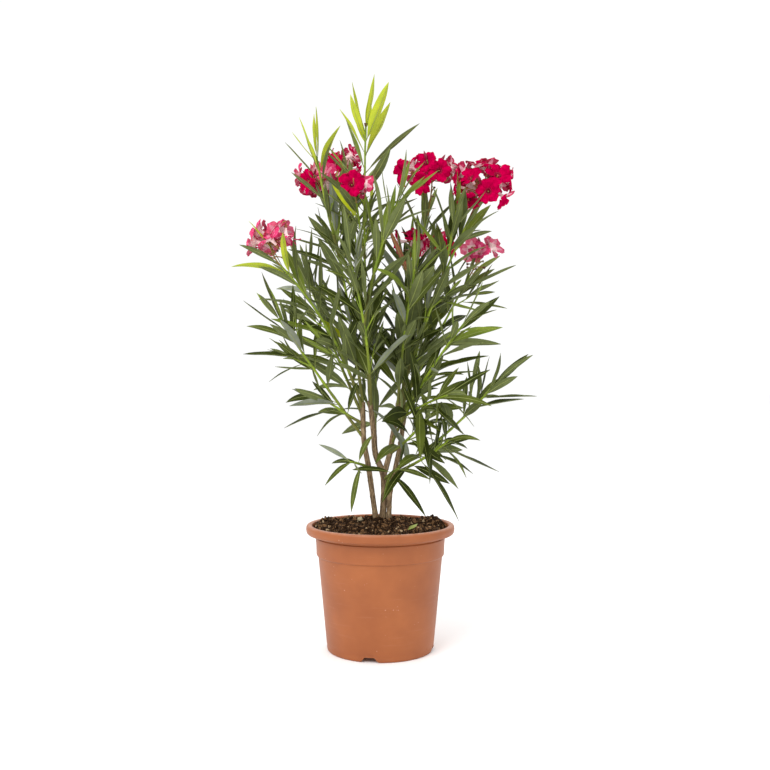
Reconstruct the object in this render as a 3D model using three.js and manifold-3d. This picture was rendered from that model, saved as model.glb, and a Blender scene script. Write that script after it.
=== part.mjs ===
// A flowering oleander in its round nursery pot, in millimetres, +Z up, +X to the right, -Y to the front.
// The origin is the middle of the pot's flat underside.
// Three woody stems rise from the soil and fork into green shoots, each a bare bough that ends in a
// leafy spray, with whorls of three narrow leaves, and the oldest shoots carry a truss of flowers.
import * as THREE from 'three';
import { mergeVertices } from 'three/addons/utils/BufferGeometryUtils.js';
import Module from 'manifold-3d';

const wasm = await Module();
wasm.setup();

// The clearance between two pieces that meet, how much larger a limb is taken when others are cut clear
// of it, and the distance under which two corners are one
const GAP = 0.3;
const BERTH = GAP * 1.2;
const ONE_CORNER = 1e-4;

// The pot: moulded plastic, 24 cm across its rolled rim, with a collar under the rim
const POT_HEIGHT = 201;
const RIM_RADIUS = 120;
const RIM_FOOT = POT_HEIGHT - 15;
const RIM_STEP = 1;
const RIM_ROUNDING = 2.4;
const RIM_WIDTH = 10;
const COLLAR_RADIUS = 105.4;
const COLLAR_TAPER = 3.2;
const COLLAR_FOOT = POT_HEIGHT - 49;
const SHOULDER_RADIUS = 100.2;
const FOOT_RADIUS = 86;
const FOOT_BEVEL = 3;
const POT_WALL = 2.6;
const FLOOR_THICKNESS = 11;
const POT_SIDES = 32;

// The four drain channels under the pot, each run in from a notch in the foot
const CHANNELS = 4;
const CHANNEL_TURN = THREE.MathUtils.degToRad(-101);
const CHANNEL_FOOT_WIDTH = 28;
const CHANNEL_TOP_WIDTH = 16;
const CHANNEL_HEIGHT = 8;
const CHANNEL_INNER_RADIUS = 38;
const CHANNEL_OVERRUN = 1;

// The soil: level below the rim, mounded round the stems
const SOIL_EDGE_HEIGHT = 194;
const SOIL_EDGE_FLARE = 2;
const GROUND = 207;
const MOUND_RADIUS = 44;
const SLOPE_RADIUS = 76;
const SLOPE_HEIGHT = 199;

// The woody stems: a few points up each, from just under the ground, where the soil cuts it flat, and
// its radius at the ground and at its tip
const STEM_SIDES = 8;
const STEM_FOOT = GROUND - 4;
const ROOT_FLARE = 1.25;
const ROOT_FLARE_HEIGHT = 16;
const STEM_RINGS = 7;
const STEMS = {
  stem_left: {
    points: [[-7, 20, STEM_FOOT], [-20, 16, 296], [-27, 13, 335], [-29, 10, 398]],
    foot: 4.4,
    tip: 4.3,
  },
  stem_middle: {
    points: [[4, 29, STEM_FOOT], [5, 28, 275], [-8, 23, 312], [-11, 19, 348], [-17, 14, 400]],
    foot: 5.6,
    tip: 4.2,
  },
  stem_right: {
    points: [[14, 19, STEM_FOOT], [16, 24, 249], [24, 34, 285], [35, 44, 338], [40, 50, 385]],
    foot: 4.2,
    tip: 3.8,
  },
  arm_right: {
    from: ['stem_middle', 0.36],
    points: [[15, 30, 312], [20, 31, 340], [31, 34, 400]],
    foot: 4.8,
    tip: 4.2,
  },
};

// The green shoots. Each springs from a limb, at a share of that limb's length, and runs to its tip
// on one smooth arc: bow is how far the arc's handle lies off the middle of the straight line.
// bare is the share of its length without leaves, leaf the length of its full-grown leaves, spread
// how far in degrees the oldest of them stand off, and droop how far they hang at the tip.
const SHOOTS = [
  {
    name: 'top', from: ['stem_middle', 1], tip: [-24, 20, 850], bow: [-10, 0, 0],
    bare: 0.06, leaf: 112, spread: 52, droop: 0.08,
  },
  {
    name: 'left_high', from: ['stem_left', 0.93], tip: [-155, -70, 612], bow: [26, 0, 18],
    bare: 0.16, leaf: 106, spread: 44, droop: 0.12,
    truss: { centre: [-170, -80, 650], spread: [30, 22, 20], flowers: 7 },
  },
  {
    name: 'left_inner', from: ['stem_left', 1], tip: [-84, 40, 720], bow: [6, 2, 0],
    bare: 0.1, leaf: 110, spread: 42, droop: 0.12,
    truss: { centre: [-112, 20, 760], spread: [28, 24, 26], flowers: 6 },
  },
  {
    name: 'left_low', from: ['stem_left', 0.7], tip: [-162, -30, 532], bow: [-2, 2, 0],
    bare: 0.22, leaf: 92, spread: 42, droop: 0.1,
  },
  {
    name: 'centre_left', from: ['stem_middle', 0.93], tip: [-48, -78, 626], bow: [16, 0, 3],
    bare: 0.1, leaf: 98, spread: 38, droop: 0.14,
  },
  {
    name: 'centre', from: ['centre_left', 0.56], tip: [28, -90, 708], bow: [-12, 6, 6],
    bare: 0.1, leaf: 98, spread: 38, droop: 0.1,
  },
  {
    name: 'middle', from: ['top', 0.52], tip: [-38, -26, 716], bow: [0, -8, 0],
    bare: 0.3, leaf: 88, spread: 38, droop: 0.1,
    truss: { centre: [-40, -30, 744], spread: [18, 16, 14], flowers: 3 },
  },
  {
    name: 'right_high', from: ['arm_right', 1], tip: [146, 0, 700], bow: [-10, 8, 6],
    bare: 0.08, leaf: 110, spread: 42, droop: 0.12,
    truss: { centre: [164, -20, 742], spread: [48, 30, 42], flowers: 12 },
  },
  {
    name: 'right_centre', from: ['stem_right', 1], tip: [78, 44, 708], bow: [-18, 2, 4],
    bare: 0.08, leaf: 108, spread: 42, droop: 0.12,
    truss: { centre: [84, 0, 766], spread: [56, 26, 26], flowers: 9 },
  },
  {
    name: 'right_upper', from: ['right_high', 0.6], tip: [120, -36, 702], bow: [4, 0, -6],
    bare: 0.1, leaf: 92, spread: 38, droop: 0.08,
  },
  {
    name: 'right_inner', from: ['arm_right', 0.9], tip: [54, -62, 606], bow: [-6, 16, 8],
    bare: 0.1, leaf: 100, spread: 40, droop: 0.14,
  },
  {
    name: 'right_outer', from: ['arm_right', 0.42], tip: [130, -90, 522], bow: [-10, 12, 12],
    bare: 0.16, leaf: 94, spread: 46, droop: 0.12,
  },
  {
    name: 'right_low', from: ['stem_right', 0.45], tip: [180, -20, 424], bow: [10, -6, -14],
    bare: 0.16, leaf: 100, spread: 54, droop: 0.14,
  },
  {
    name: 'right_foot', from: ['stem_right', 0.42], tip: [106, -60, 340], bow: [16, 0, 0],
    bare: 0.04, leaf: 84, spread: 84, droop: 0.4,
  },
  {
    name: 'right_heart', from: ['arm_right', 0.3], tip: [72, -34, 372], bow: [4, 0, -6],
    bare: 0.1, leaf: 86, spread: 80, droop: 0.35,
  },
  {
    name: 'front_foot', from: ['stem_middle', 0.33], tip: [30, -14, 292], bow: [0, 0, 4],
    bare: 0.2, leaf: 70, spread: 110, droop: 0.5,
  },
  {
    name: 'right_fork', from: ['arm_right', 0.7], tip: [104, -70, 410], bow: [0, 0, 10],
    bare: 0.14, leaf: 92, spread: 62, droop: 0.25,
  },
  {
    name: 'left_foot', from: ['stem_left', 0.45], tip: [-48, -20, 303], bow: [0, 0, 3],
    bare: 0.4, leaf: 72, spread: 100, droop: 0.3,
  },
  {
    name: 'left_curl', from: ['stem_left', 0.82], tip: [-92, -6, 404], bow: [6, 0, -6],
    bare: 0.16, leaf: 88, spread: 56, droop: 0.25,
  },
  {
    name: 'upper_left', from: ['left_inner', 0.74], tip: [-102, -20, 792], bow: [-4, -10, 0],
    bare: 0.2, leaf: 86, spread: 42, droop: 0.04,
  },
  {
    name: 'right_mid', from: ['stem_right', 0.86], tip: [50, 74, 632], bow: [-6, 10, 0],
    bare: 0.12, leaf: 106, spread: 42, droop: 0.12,
    truss: { centre: [50, 28, 662], spread: [26, 16, 14], flowers: 4 },
  },
  {
    name: 'right_back', from: ['arm_right', 0.78], tip: [152, 70, 612], bow: [-4, 14, 0],
    bare: 0.14, leaf: 106, spread: 44, droop: 0.12,
    truss: { centre: [170, 62, 652], spread: [28, 18, 14], flowers: 3 },
  },
  {
    name: 'back_left', from: ['stem_left', 0.88], tip: [-132, 132, 622], bow: [-6, 14, 0],
    bare: 0.14, leaf: 106, spread: 46, droop: 0.12,
  },
  {
    name: 'back_middle', from: ['stem_middle', 0.82], tip: [-52, 124, 764], bow: [0, 16, 0],
    bare: 0.12, leaf: 108, spread: 44, droop: 0.12,
    truss: { centre: [-64, 128, 812], spread: [30, 28, 24], flowers: 6 },
  },
  {
    name: 'back_right', from: ['stem_right', 0.7], tip: [92, 150, 636], bow: [0, 16, 0],
    bare: 0.16, leaf: 106, spread: 46, droop: 0.12,
    truss: { centre: [104, 164, 676], spread: [30, 26, 20], flowers: 5 },
  },
  {
    name: 'back_low', from: ['stem_middle', 0.6], tip: [-8, 146, 470], bow: [0, 20, -10],
    bare: 0.2, leaf: 94, spread: 54, droop: 0.16,
  },
];

// How a shoot grows: a bare bough where the bare stretch is long enough, then a three-sided twig with
// whorls of leaves, closer together and steeper towards the tip
const BOUGH_SIDES = 5;
const BOUGH_RADIUS = 3.2;
const SHORTEST_BOUGH = 22;
const TWIG_SIDES = 3;
const TWIG_RADIUS = 2.8;
const TWIG_TIP_RADIUS = 2;
const TWIG_STEP = 60;
const WHORL_STEP = 34;
const WHORL_TIP_STEP = 0.55;
const LEAVES_IN_WHORL = 3;
const TIP_SPREAD = THREE.MathUtils.degToRad(17);
const SPREAD_PLAY = THREE.MathUtils.degToRad(30);
const TURN_PLAY = THREE.MathUtils.degToRad(60);
const FIRST_WHORL = 5;
const OLD_DEPTH = 100;
const OLD_SHARE = 0.6;
const AGE_CURVE = 0.7;
const LEAF_PLAY = 0.4;
const DROOP_PLAY = 1.2;
const TIP_LEAF_SHARE = 0.8;
const TIP_WIDTH_SHARE = 0.72;
const BROAD_DEPTH = 60;
const LOST_LEAVES = 0.2;
const LOST_DEPTH = 60;
const LOSS_SALT = 20;
const TRIES = 4;

// A leaf's own proportions, as shares of its length
const LEAF_WIDTH = 0.155;
const LEAF_THICKNESS = 0.016;
const LEAF_SECTIONS = [
  { at: 0, width: 0.08, thickness: 0.75 },
  { at: 0.42, width: 1, thickness: 1 },
];
const BLADE_EDGE = { x: Math.sin(Math.PI / 3), z: -0.5 };
const LEAF_ROOT = 0.6;
const LEAF_STAGGER = 4;
const LEAF_NECK = 0.16;

// A flower: a funnel that opens into five broad lobes, on a truss that branches near its end
const FLOWER_RADIUS = 19;
const FLOWER_NOTCH = 0.58;
const FLOWER_CUP = 8;
const FLOWER_LOBES = 5;
const FLOWER_CLEARANCE = 1;
const PEDUNCLE_RADIUS = 2;
const PEDUNCLE_TIP_RADIUS = 1.6;
const TRUSS_BRANCHING = 0.3;
const TRUSS_DOME = 1.5;
const TRUSS_LEAN = 0.5;
const GOLDEN_ANGLE = Math.PI * (3 - Math.sqrt(5));

const material = (color, roughness) => new THREE.MeshStandardMaterial({ color, roughness, metalness: 0 });
const MATERIALS = {
  pot: material('#c1764f', 0.55),
  soil: material('#3d2d20', 0.95),
  bark: material('#75664f', 0.85),
  shoot: material('#7f9a3c', 0.6),
  leaf: material('#4f6230', 0.5),
  blossom: material('#c4123f', 0.6),
};

const UP = new THREE.Vector3(0, 0, 1);
const SIDEWAYS = new THREE.Vector3(1, 0, 0);
const vector = (xyz) => new THREE.Vector3(...xyz);
const lerp = THREE.MathUtils.lerp;

// A geometry as a solid: only its places are kept, its shared corners are merged, and faces that
// shrank to a line are left out.
function solidOf(geometry) {
  const plain = new THREE.BufferGeometry();
  plain.setAttribute('position', geometry.getAttribute('position').clone());
  plain.setIndex(geometry.index);
  const merged = mergeVertices(plain, ONE_CORNER);
  const index = merged.index.array;
  const corners = [];
  for (let i = 0; i < index.length; i += 3) {
    const [a, b, c] = [index[i], index[i + 1], index[i + 2]];
    if (a !== b && b !== c && c !== a) corners.push(a, b, c);
  }
  return new wasm.Manifold(new wasm.Mesh({
    numProp: 3,
    vertProperties: new Float32Array(merged.getAttribute('position').array),
    triVerts: new Uint32Array(corners),
  }));
}

// The largest body of a solid: scraps and sealed hollows go
function mainBody(solid) {
  const bodies = solid.decompose();
  return bodies.reduce((best, body) => (body.volume() > best.volume() ? body : best));
}

function geometryOf(solid) {
  const { numProp, vertProperties, triVerts } = solid.getMesh();
  const places = new Float32Array(triVerts.length * 3);
  triVerts.forEach((corner, i) => {
    for (let axis = 0; axis < 3; axis += 1) {
      places[i * 3 + axis] = vertProperties[corner * numProp + axis];
    }
  });
  const geometry = new THREE.BufferGeometry();
  geometry.setAttribute('position', new THREE.BufferAttribute(places, 3));
  geometry.computeVertexNormals();
  return geometry;
}

const plant = new THREE.Group();
plant.name = 'potted_oleander';

function addNode(name, solid, finish) {
  const mesh = new THREE.Mesh(geometryOf(solid), MATERIALS[finish]);
  mesh.name = name;
  plant.add(mesh);
}

// A repeatable random number from 0 to 1, mixed from whole-number keys
function chance(...keys) {
  let mix = 0x2545f491;
  for (const key of keys) {
    mix = Math.imul(mix ^ (key + 1), 0x01000193);
    mix ^= mix >>> 15;
    mix = Math.imul(mix, 0x2c1b3c6d);
    mix ^= mix >>> 12;
  }
  return (mix >>> 0) / 2 ** 32;
}

// The solids that later growth has to keep clear of, each with the spray that it belongs to
const taken = [];
function take(owner, solid) {
  taken.push({ owner, solid, box: solid.boundingBox() });
}

function boxesMeet(a, b) {
  return [0, 1, 2].every((axis) => a.min[axis] <= b.max[axis] && b.min[axis] <= a.max[axis]);
}

function isFree(solid, mayTouch) {
  const box = solid.boundingBox();
  return !taken.some((other) => other.owner !== mayTouch
    && boxesMeet(box, other.box)
    && !solid.intersect(other.solid).isEmpty());
}

// The directions across a limb at one place: sideways and outwards, square to its run
function crossFrame(along) {
  const side = new THREE.Vector3().crossVectors(along, new THREE.Vector3(0, 1, 0)).normalize();
  return { side, out: new THREE.Vector3().crossVectors(side, along) };
}

// A round limb along a curve, from one share of its length to another: a cylinder whose rings are
// carried to the curve and given the radius of their place.
function limb(curve, radiusAt, { sides, rings, start = 0, end = 1 }) {
  const geometry = new THREE.CylinderGeometry(1, 1, 1, sides, rings);
  const place = geometry.getAttribute('position');
  for (let i = 0; i < place.count; i += 1) {
    const share = lerp(start, end, place.getY(i) + 0.5);
    const centre = curve.getPointAt(share);
    const { side, out } = crossFrame(curve.getTangentAt(share));
    centre.addScaledVector(side, place.getX(i) * radiusAt(share));
    centre.addScaledVector(out, place.getZ(i) * radiusAt(share));
    place.setXYZ(i, centre.x, centre.y, centre.z);
  }
  return solidOf(geometry);
}

// An outline of radius and height, turned round the pot's axis
function turned(outline) {
  const points = outline.map(([radius, height]) => new THREE.Vector2(radius, height));
  return new THREE.LatheGeometry(points, POT_SIDES).rotateX(Math.PI / 2);
}

// The pot: the body tapers to the foot, the collar steps out, and the rim rolls over it. The drain
// channels are cut from below.
function makePot() {
  const rimMiddle = (RIM_FOOT + POT_HEIGHT) / 2;
  let pot = solidOf(turned([
    [0, 0],
    [FOOT_RADIUS - FOOT_BEVEL, 0],
    [FOOT_RADIUS, FOOT_BEVEL],
    [SHOULDER_RADIUS, COLLAR_FOOT - FOOT_BEVEL],
    [COLLAR_RADIUS - COLLAR_TAPER, COLLAR_FOOT + FOOT_BEVEL],
    [COLLAR_RADIUS, RIM_FOOT - RIM_STEP],
    [RIM_RADIUS - RIM_ROUNDING, RIM_FOOT + RIM_STEP],
    [RIM_RADIUS, rimMiddle],
    [RIM_RADIUS - RIM_ROUNDING, POT_HEIGHT - RIM_ROUNDING],
    [RIM_RADIUS - RIM_WIDTH / 2, POT_HEIGHT],
    [RIM_RADIUS - RIM_WIDTH, POT_HEIGHT - RIM_ROUNDING],
    [COLLAR_RADIUS, RIM_FOOT],
    [COLLAR_RADIUS - POT_WALL, RIM_FOOT - POT_WALL * 2],
    [SHOULDER_RADIUS - POT_WALL, COLLAR_FOOT],
    [FOOT_RADIUS - POT_WALL, FLOOR_THICKNESS],
    [0, FLOOR_THICKNESS],
  ]));
  const section = new THREE.Shape([
    new THREE.Vector2(-CHANNEL_FOOT_WIDTH / 2, -CHANNEL_OVERRUN),
    new THREE.Vector2(CHANNEL_FOOT_WIDTH / 2, -CHANNEL_OVERRUN),
    new THREE.Vector2(CHANNEL_TOP_WIDTH / 2, CHANNEL_HEIGHT),
    new THREE.Vector2(-CHANNEL_TOP_WIDTH / 2, CHANNEL_HEIGHT),
  ]);
  for (let i = 0; i < CHANNELS; i += 1) {
    const channel = new THREE.ExtrudeGeometry(section, {
      depth: FOOT_RADIUS + CHANNEL_OVERRUN - CHANNEL_INNER_RADIUS,
      bevelEnabled: false,
    });
    channel.rotateX(Math.PI / 2);
    channel.translate(0, -CHANNEL_INNER_RADIUS, 0);
    channel.rotateZ(CHANNEL_TURN + Math.PI / 2 + (i * 2 * Math.PI) / CHANNELS);
    pot = pot.subtract(solidOf(channel));
  }
  return mainBody(pot);
}

// The soil: it fills the pot to just below the rim, clear of the wall, and may be made lifted
function makeSoil(lift = 0) {
  const wall = POT_WALL + GAP * 2;
  return solidOf(turned([
    [0, FLOOR_THICKNESS + GAP],
    [FOOT_RADIUS - wall, FLOOR_THICKNESS + GAP],
    [SHOULDER_RADIUS - wall, COLLAR_FOOT],
    [COLLAR_RADIUS - wall, RIM_FOOT - POT_WALL * 2],
    [COLLAR_RADIUS - GAP * 2, RIM_FOOT],
    [COLLAR_RADIUS + SOIL_EDGE_FLARE, SOIL_EDGE_HEIGHT],
    [SLOPE_RADIUS, SLOPE_HEIGHT],
    [MOUND_RADIUS, GROUND],
    [0, GROUND],
  ]).translate(0, 0, lift));
}

addNode('pot', makePot(), 'pot');
take('pot', makePot());
addNode('soil', makeSoil(), 'soil');
take('soil', makeSoil());

// Every limb's curve, by its name
const runs = {};

// A limb, cut clear of the soil and of the limbs that already stand: their solids are swollen by the gap
const swollen = [makeSoil(GAP)];
function cutClear(solid) {
  let cut = solid;
  for (const other of swollen) {
    if (boxesMeet(cut.boundingBox(), other.boundingBox())) cut = cut.subtract(other);
  }
  return mainBody(cut);
}

function standLimb(name, curve, radiusAt, shape, finish) {
  addNode(name, cutClear(limb(curve, radiusAt, shape)), finish);
  const berth = limb(curve, (share) => radiusAt(share) + BERTH, shape);
  swollen.push(berth);
  take(name, berth);
}

for (const [name, stem] of Object.entries(STEMS)) {
  const points = stem.points.map(vector);
  if (stem.from) points.unshift(runs[stem.from[0]].getPointAt(stem.from[1]));
  const curve = new THREE.CatmullRomCurve3(points, false, 'centripetal');
  const length = curve.getLength();
  const radiusAt = (share) => {
    const flare = stem.from ? 1 : lerp(ROOT_FLARE, 1, Math.min(1, (share * length) / ROOT_FLARE_HEIGHT));
    return lerp(stem.foot, stem.tip, share) * flare;
  };
  runs[name] = curve;
  standLimb(name, curve, radiusAt, { sides: STEM_SIDES, rings: STEM_RINGS }, 'bark');
}

// A shoot's arc, with its bare bough and the stem of its spray. A shoot that is leafy from its foot has
// no bough: its spray's stem starts at the limb.
function raiseShoot(shoot) {
  const [parent, share] = shoot.from;
  const start = runs[parent].getPointAt(share);
  if (share === 1) start.addScaledVector(runs[parent].getTangentAt(1), GAP * 2);
  const tip = vector(shoot.tip);
  const handle = start.clone().add(tip).multiplyScalar(0.5).add(vector(shoot.bow));
  const curve = new THREE.QuadraticBezierCurve3(start, handle, tip);
  const length = curve.getLength();
  const boughRadius = (at) => lerp(BOUGH_RADIUS, TWIG_TIP_RADIUS, at);
  runs[shoot.name] = curve;
  let sprayStart = 0;
  if (length * shoot.bare >= SHORTEST_BOUGH) {
    const rings = Math.ceil((length * shoot.bare) / TWIG_STEP) + 1;
    const bough = { sides: BOUGH_SIDES, rings, end: shoot.bare };
    standLimb('bough_' + shoot.name, curve, boughRadius, bough, 'shoot');
    sprayStart = shoot.bare + GAP / length;
  }
  const twigRadius = (at) => lerp(TWIG_RADIUS, TWIG_TIP_RADIUS, at);
  const twig = {
    sides: TWIG_SIDES,
    rings: Math.max(2, Math.round((length * (1 - sprayStart)) / TWIG_STEP)),
    start: sprayStart,
  };
  const stem = cutClear(limb(curve, twigRadius, twig));
  const berth = limb(curve, (at) => twigRadius(at) + BERTH, twig);
  swollen.push(berth);
  take(shoot.name, berth);
  return { ...shoot, curve, length, stem, spray: stem, blades: [] };
}

// A leaf: a blade on an arc that droops, three-cornered across, with its midrib below. Swell makes it
// larger all round, and neck leaves out its first stretch.
function leafSolid({ root, along, turn, spread, droop, length, width, swell = 0, neck = 0 }) {
  const { side, out } = crossFrame(along);
  const away = side.clone().multiplyScalar(Math.cos(turn)).addScaledVector(out, Math.sin(turn));
  const heading = along.clone().multiplyScalar(Math.cos(spread)).addScaledVector(away, Math.sin(spread));
  const sag = length * droop * Math.hypot(heading.x, heading.y);
  const upper = along.clone().addScaledVector(heading, -along.dot(heading)).normalize();
  const across = new THREE.Vector3().crossVectors(upper, heading).normalize();
  const start = root.clone().addScaledVector(away, LEAF_ROOT);
  const geometry = new THREE.CylinderGeometry(1, 1, 1, 3, LEAF_SECTIONS.length);
  const place = geometry.getAttribute('position');
  for (let i = 0; i < place.count; i += 1) {
    const row = Math.round((place.getY(i) + 0.5) * LEAF_SECTIONS.length);
    const section = LEAF_SECTIONS[row] ?? { at: 1, width: 0, thickness: 0 };
    const at = Math.max(neck, section.at);
    const centre = start.clone().addScaledVector(heading, at * length + (at === 1 ? swell : 0));
    centre.addScaledVector(UP, -sag * at ** 2);
    const half = section.width * (width * 0.5 + swell);
    const thick = section.thickness * length * LEAF_THICKNESS;
    const keel = (place.getZ(i) - BLADE_EDGE.z) / (1 - BLADE_EDGE.z);
    centre.addScaledVector(across, (place.getX(i) / BLADE_EDGE.x) * half);
    centre.addScaledVector(upper, swell * 0.5 - keel * (thick + swell));
    place.setXYZ(i, centre.x, centre.y, centre.z);
  }
  return solidOf(geometry);
}

// The whorls of a shoot, from its tip down, closer together towards the tip
function whorlsOf(shoot) {
  const whorls = [];
  let left = FIRST_WHORL;
  for (let number = 0; left < shoot.length * (1 - shoot.bare) - LEAF_STAGGER; number += 1) {
    whorls.push({ shoot, number, share: 1 - left / shoot.length, depth: left });
    left += WHORL_STEP * lerp(WHORL_TIP_STEP, 1, Math.min(1, left / OLD_DEPTH));
  }
  return whorls;
}

// Whether a leaf of an older whorl has fallen
function isLost(order, whorl, leaf) {
  return whorl.depth >= LOST_DEPTH && chance(order, whorl.number, leaf, LOSS_SALT) <= LOST_LEAVES;
}

// One leaf of a whorl: it stands off further and is longer the older it is, each with some play
function growLeaf(shoot, order, whorl, leaf, attempt) {
  const keys = [order, whorl.number, leaf, attempt];
  const play = (salt, size) => (chance(...keys, salt) - 0.5) * size;
  const age = Math.min(1, whorl.depth / Math.min(OLD_DEPTH, shoot.length * OLD_SHARE));
  const full = shoot.leaf * lerp(TIP_LEAF_SHARE, 1, age);
  const length = full * (1 + play(1, LEAF_PLAY));
  const broad = lerp(TIP_WIDTH_SHARE, 1, Math.min(1, whorl.depth / BROAD_DEPTH));
  return {
    root: shoot.curve.getPointAt(whorl.share + ((leaf - 1) * LEAF_STAGGER) / shoot.length),
    along: shoot.curve.getTangentAt(whorl.share),
    turn: order + whorl.number * (Math.PI / 3) + (leaf * 2 * Math.PI) / LEAVES_IN_WHORL + play(2, TURN_PLAY),
    spread: lerp(TIP_SPREAD, THREE.MathUtils.degToRad(shoot.spread), age ** AGE_CURVE) + play(3, SPREAD_PLAY),
    droop: shoot.droop * (1 + play(5, DROOP_PLAY)),
    length,
    width: length * LEAF_WIDTH * (1 + play(4, LEAF_PLAY)) * broad,
  };
}

// A flower: a funnel from its foot on the stalk to a cupped rim that is drawn out into five lobes
function flowerSolid(foot, centre, facing, spin, radius) {
  const geometry = new THREE.CylinderGeometry(1, 1, 1, FLOWER_LOBES * 2, 1);
  const place = geometry.getAttribute('position');
  const tilt = new THREE.Quaternion().setFromUnitVectors(UP, facing);
  for (let i = 0; i < place.count; i += 1) {
    const corner = new THREE.Vector3(place.getX(i), -place.getZ(i), 0);
    const isThroat = corner.length() < 0.5;
    const isNotch = Math.round(corner.angleTo(SIDEWAYS) / (Math.PI / FLOWER_LOBES)) % 2;
    corner.multiplyScalar(radius * (isNotch ? FLOWER_NOTCH : 1));
    if (isThroat) corner.z = -FLOWER_CUP;
    corner.applyAxisAngle(UP, spin).applyQuaternion(tilt).add(centre);
    if (place.getY(i) < 0) corner.copy(foot);
    place.setXYZ(i, corner.x, corner.y, corner.z);
  }
  return solidOf(geometry);
}

// A truss: a stalk from the shoot's tip that branches to flowers spread over a dome
function makeTruss(shoot, order) {
  const { centre, spread, flowers } = shoot.truss;
  const tip = shoot.curve.getPointAt(1);
  const along = shoot.curve.getTangentAt(1);
  const heart = vector(centre);
  const start = tip.clone().addScaledVector(along, GAP);
  const handle = tip.clone().addScaledVector(along, tip.distanceTo(heart) * 0.5);
  const stalk = new THREE.QuadraticBezierCurve3(start, handle, heart);
  const stalkRadius = (share) => lerp(PEDUNCLE_RADIUS, PEDUNCLE_TIP_RADIUS, share);
  let truss = cutClear(limb(stalk, stalkRadius, { sides: 3, rings: 2 }));
  const outward = new THREE.Vector3(0, Math.sign(heart.y) * TRUSS_LEAN, 0);
  const axis = heart.clone().sub(tip).normalize().add(UP).add(outward).normalize();
  const domed = new THREE.Quaternion().setFromUnitVectors(UP, axis);
  for (let i = 0; i < flowers; i += 1) {
    const share = (i + 0.5) / flowers;
    const height = 1 - TRUSS_DOME * share;
    const around = i * GOLDEN_ANGLE + order;
    const flat = Math.sqrt(1 - height * height);
    const facing = new THREE.Vector3(flat * Math.cos(around), flat * Math.sin(around), height);
    facing.applyQuaternion(domed);
    const middle = heart.clone().add(facing.clone().multiply(vector(spread)));
    const foot = stalk.getPointAt(1 - TRUSS_BRANCHING * share);
    const spin = chance(order, i) * Math.PI;
    const berth = middle.clone().addScaledVector(facing, GAP);
    const room = flowerSolid(foot, berth, facing, spin, FLOWER_RADIUS + FLOWER_CLEARANCE);
    if (!isFree(room, shoot.name)) continue;
    truss = truss.add(flowerSolid(foot, middle, facing, spin, FLOWER_RADIUS));
  }
  return mainBody(truss);
}

const shoots = SHOOTS.map(raiseShoot);
shoots.filter((shoot) => shoot.truss).forEach((shoot, order) => {
  const truss = makeTruss(shoot, order);
  addNode('truss_' + shoot.name, truss, 'blossom');
  take('truss_' + shoot.name, truss);
});

// Leaves open from every tip downwards, so that the tips are full and the heart of the crown is
// thinner. An older whorl has lost a leaf here and there. A leaf that would touch another piece is
// turned a little, and left out if that doesn't help.
const whorls = shoots.flatMap(whorlsOf).sort((a, b) => a.depth - b.depth);
for (const whorl of whorls) {
  const { shoot } = whorl;
  for (let leaf = 0; leaf < LEAVES_IN_WHORL; leaf += 1) {
    if (isLost(shoots.indexOf(shoot), whorl, leaf)) continue;
    for (let attempt = 0; attempt < TRIES; attempt += 1) {
      const grown = growLeaf(shoot, shoots.indexOf(shoot), whorl, leaf, attempt);
      const solid = leafSolid(grown);
      const blade = leafSolid({ ...grown, neck: LEAF_NECK });
      const isRooted = !shoot.stem.intersect(solid).isEmpty();
      const isApart = shoot.blades.every((other) => other.intersect(blade).isEmpty());
      if (isRooted && isApart && isFree(leafSolid({ ...grown, swell: GAP }), shoot.name)) {
        shoot.spray = shoot.spray.add(solid);
        shoot.blades.push(blade);
        take(shoot.name, solid);
        break;
      }
    }
  }
}
for (const shoot of shoots) addNode('foliage_' + shoot.name, mainBody(shoot.spray), 'leaf');

export default plant;
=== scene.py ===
import math

import bpy
import numpy as np
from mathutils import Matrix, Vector


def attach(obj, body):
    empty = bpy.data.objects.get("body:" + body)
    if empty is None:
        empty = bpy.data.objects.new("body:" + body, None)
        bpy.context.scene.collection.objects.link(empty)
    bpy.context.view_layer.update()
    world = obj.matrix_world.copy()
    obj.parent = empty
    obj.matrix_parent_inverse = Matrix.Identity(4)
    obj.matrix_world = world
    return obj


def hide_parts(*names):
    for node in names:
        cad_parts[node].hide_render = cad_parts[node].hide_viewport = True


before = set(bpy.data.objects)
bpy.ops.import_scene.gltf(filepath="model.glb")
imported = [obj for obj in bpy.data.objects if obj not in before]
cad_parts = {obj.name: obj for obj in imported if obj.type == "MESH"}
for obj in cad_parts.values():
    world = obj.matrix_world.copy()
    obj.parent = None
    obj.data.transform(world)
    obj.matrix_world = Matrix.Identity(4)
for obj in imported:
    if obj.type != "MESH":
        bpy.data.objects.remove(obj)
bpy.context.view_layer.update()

MM = 0.001
UP = np.array([0.0, 0.0, 1.0])
FULL_TURN = 2 * math.pi
GOLDEN_ANGLE = math.pi * (3 - math.sqrt(5))
LATTICE = 64

# The pot
POT_HEIGHT = 201
RIM_RADIUS = 120
RIM_FOOT = 186
RIM_INNER_RADIUS = 110
RIM_CREST = 198
COLLAR_RADIUS = 105.4
COLLAR_FOOT = 152
COLLAR_TAPER = 3.2
SHOULDER_RADIUS = 100.2
FOOT_RADIUS = 86
FOOT_BEVEL = 3
POT_WALL = 2.6
POT_FLOOR = 11
POT_SIDES = 288

# Its four drain channels, each from a notch in the foot
CHANNELS = 4
CHANNEL_TURN = math.radians(-101)
CHANNEL_FOOT_WIDTH = 28
CHANNEL_TOP_WIDTH = 16
CHANNEL_HEIGHT = 8
CHANNEL_INNER_RADIUS = 38

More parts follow.
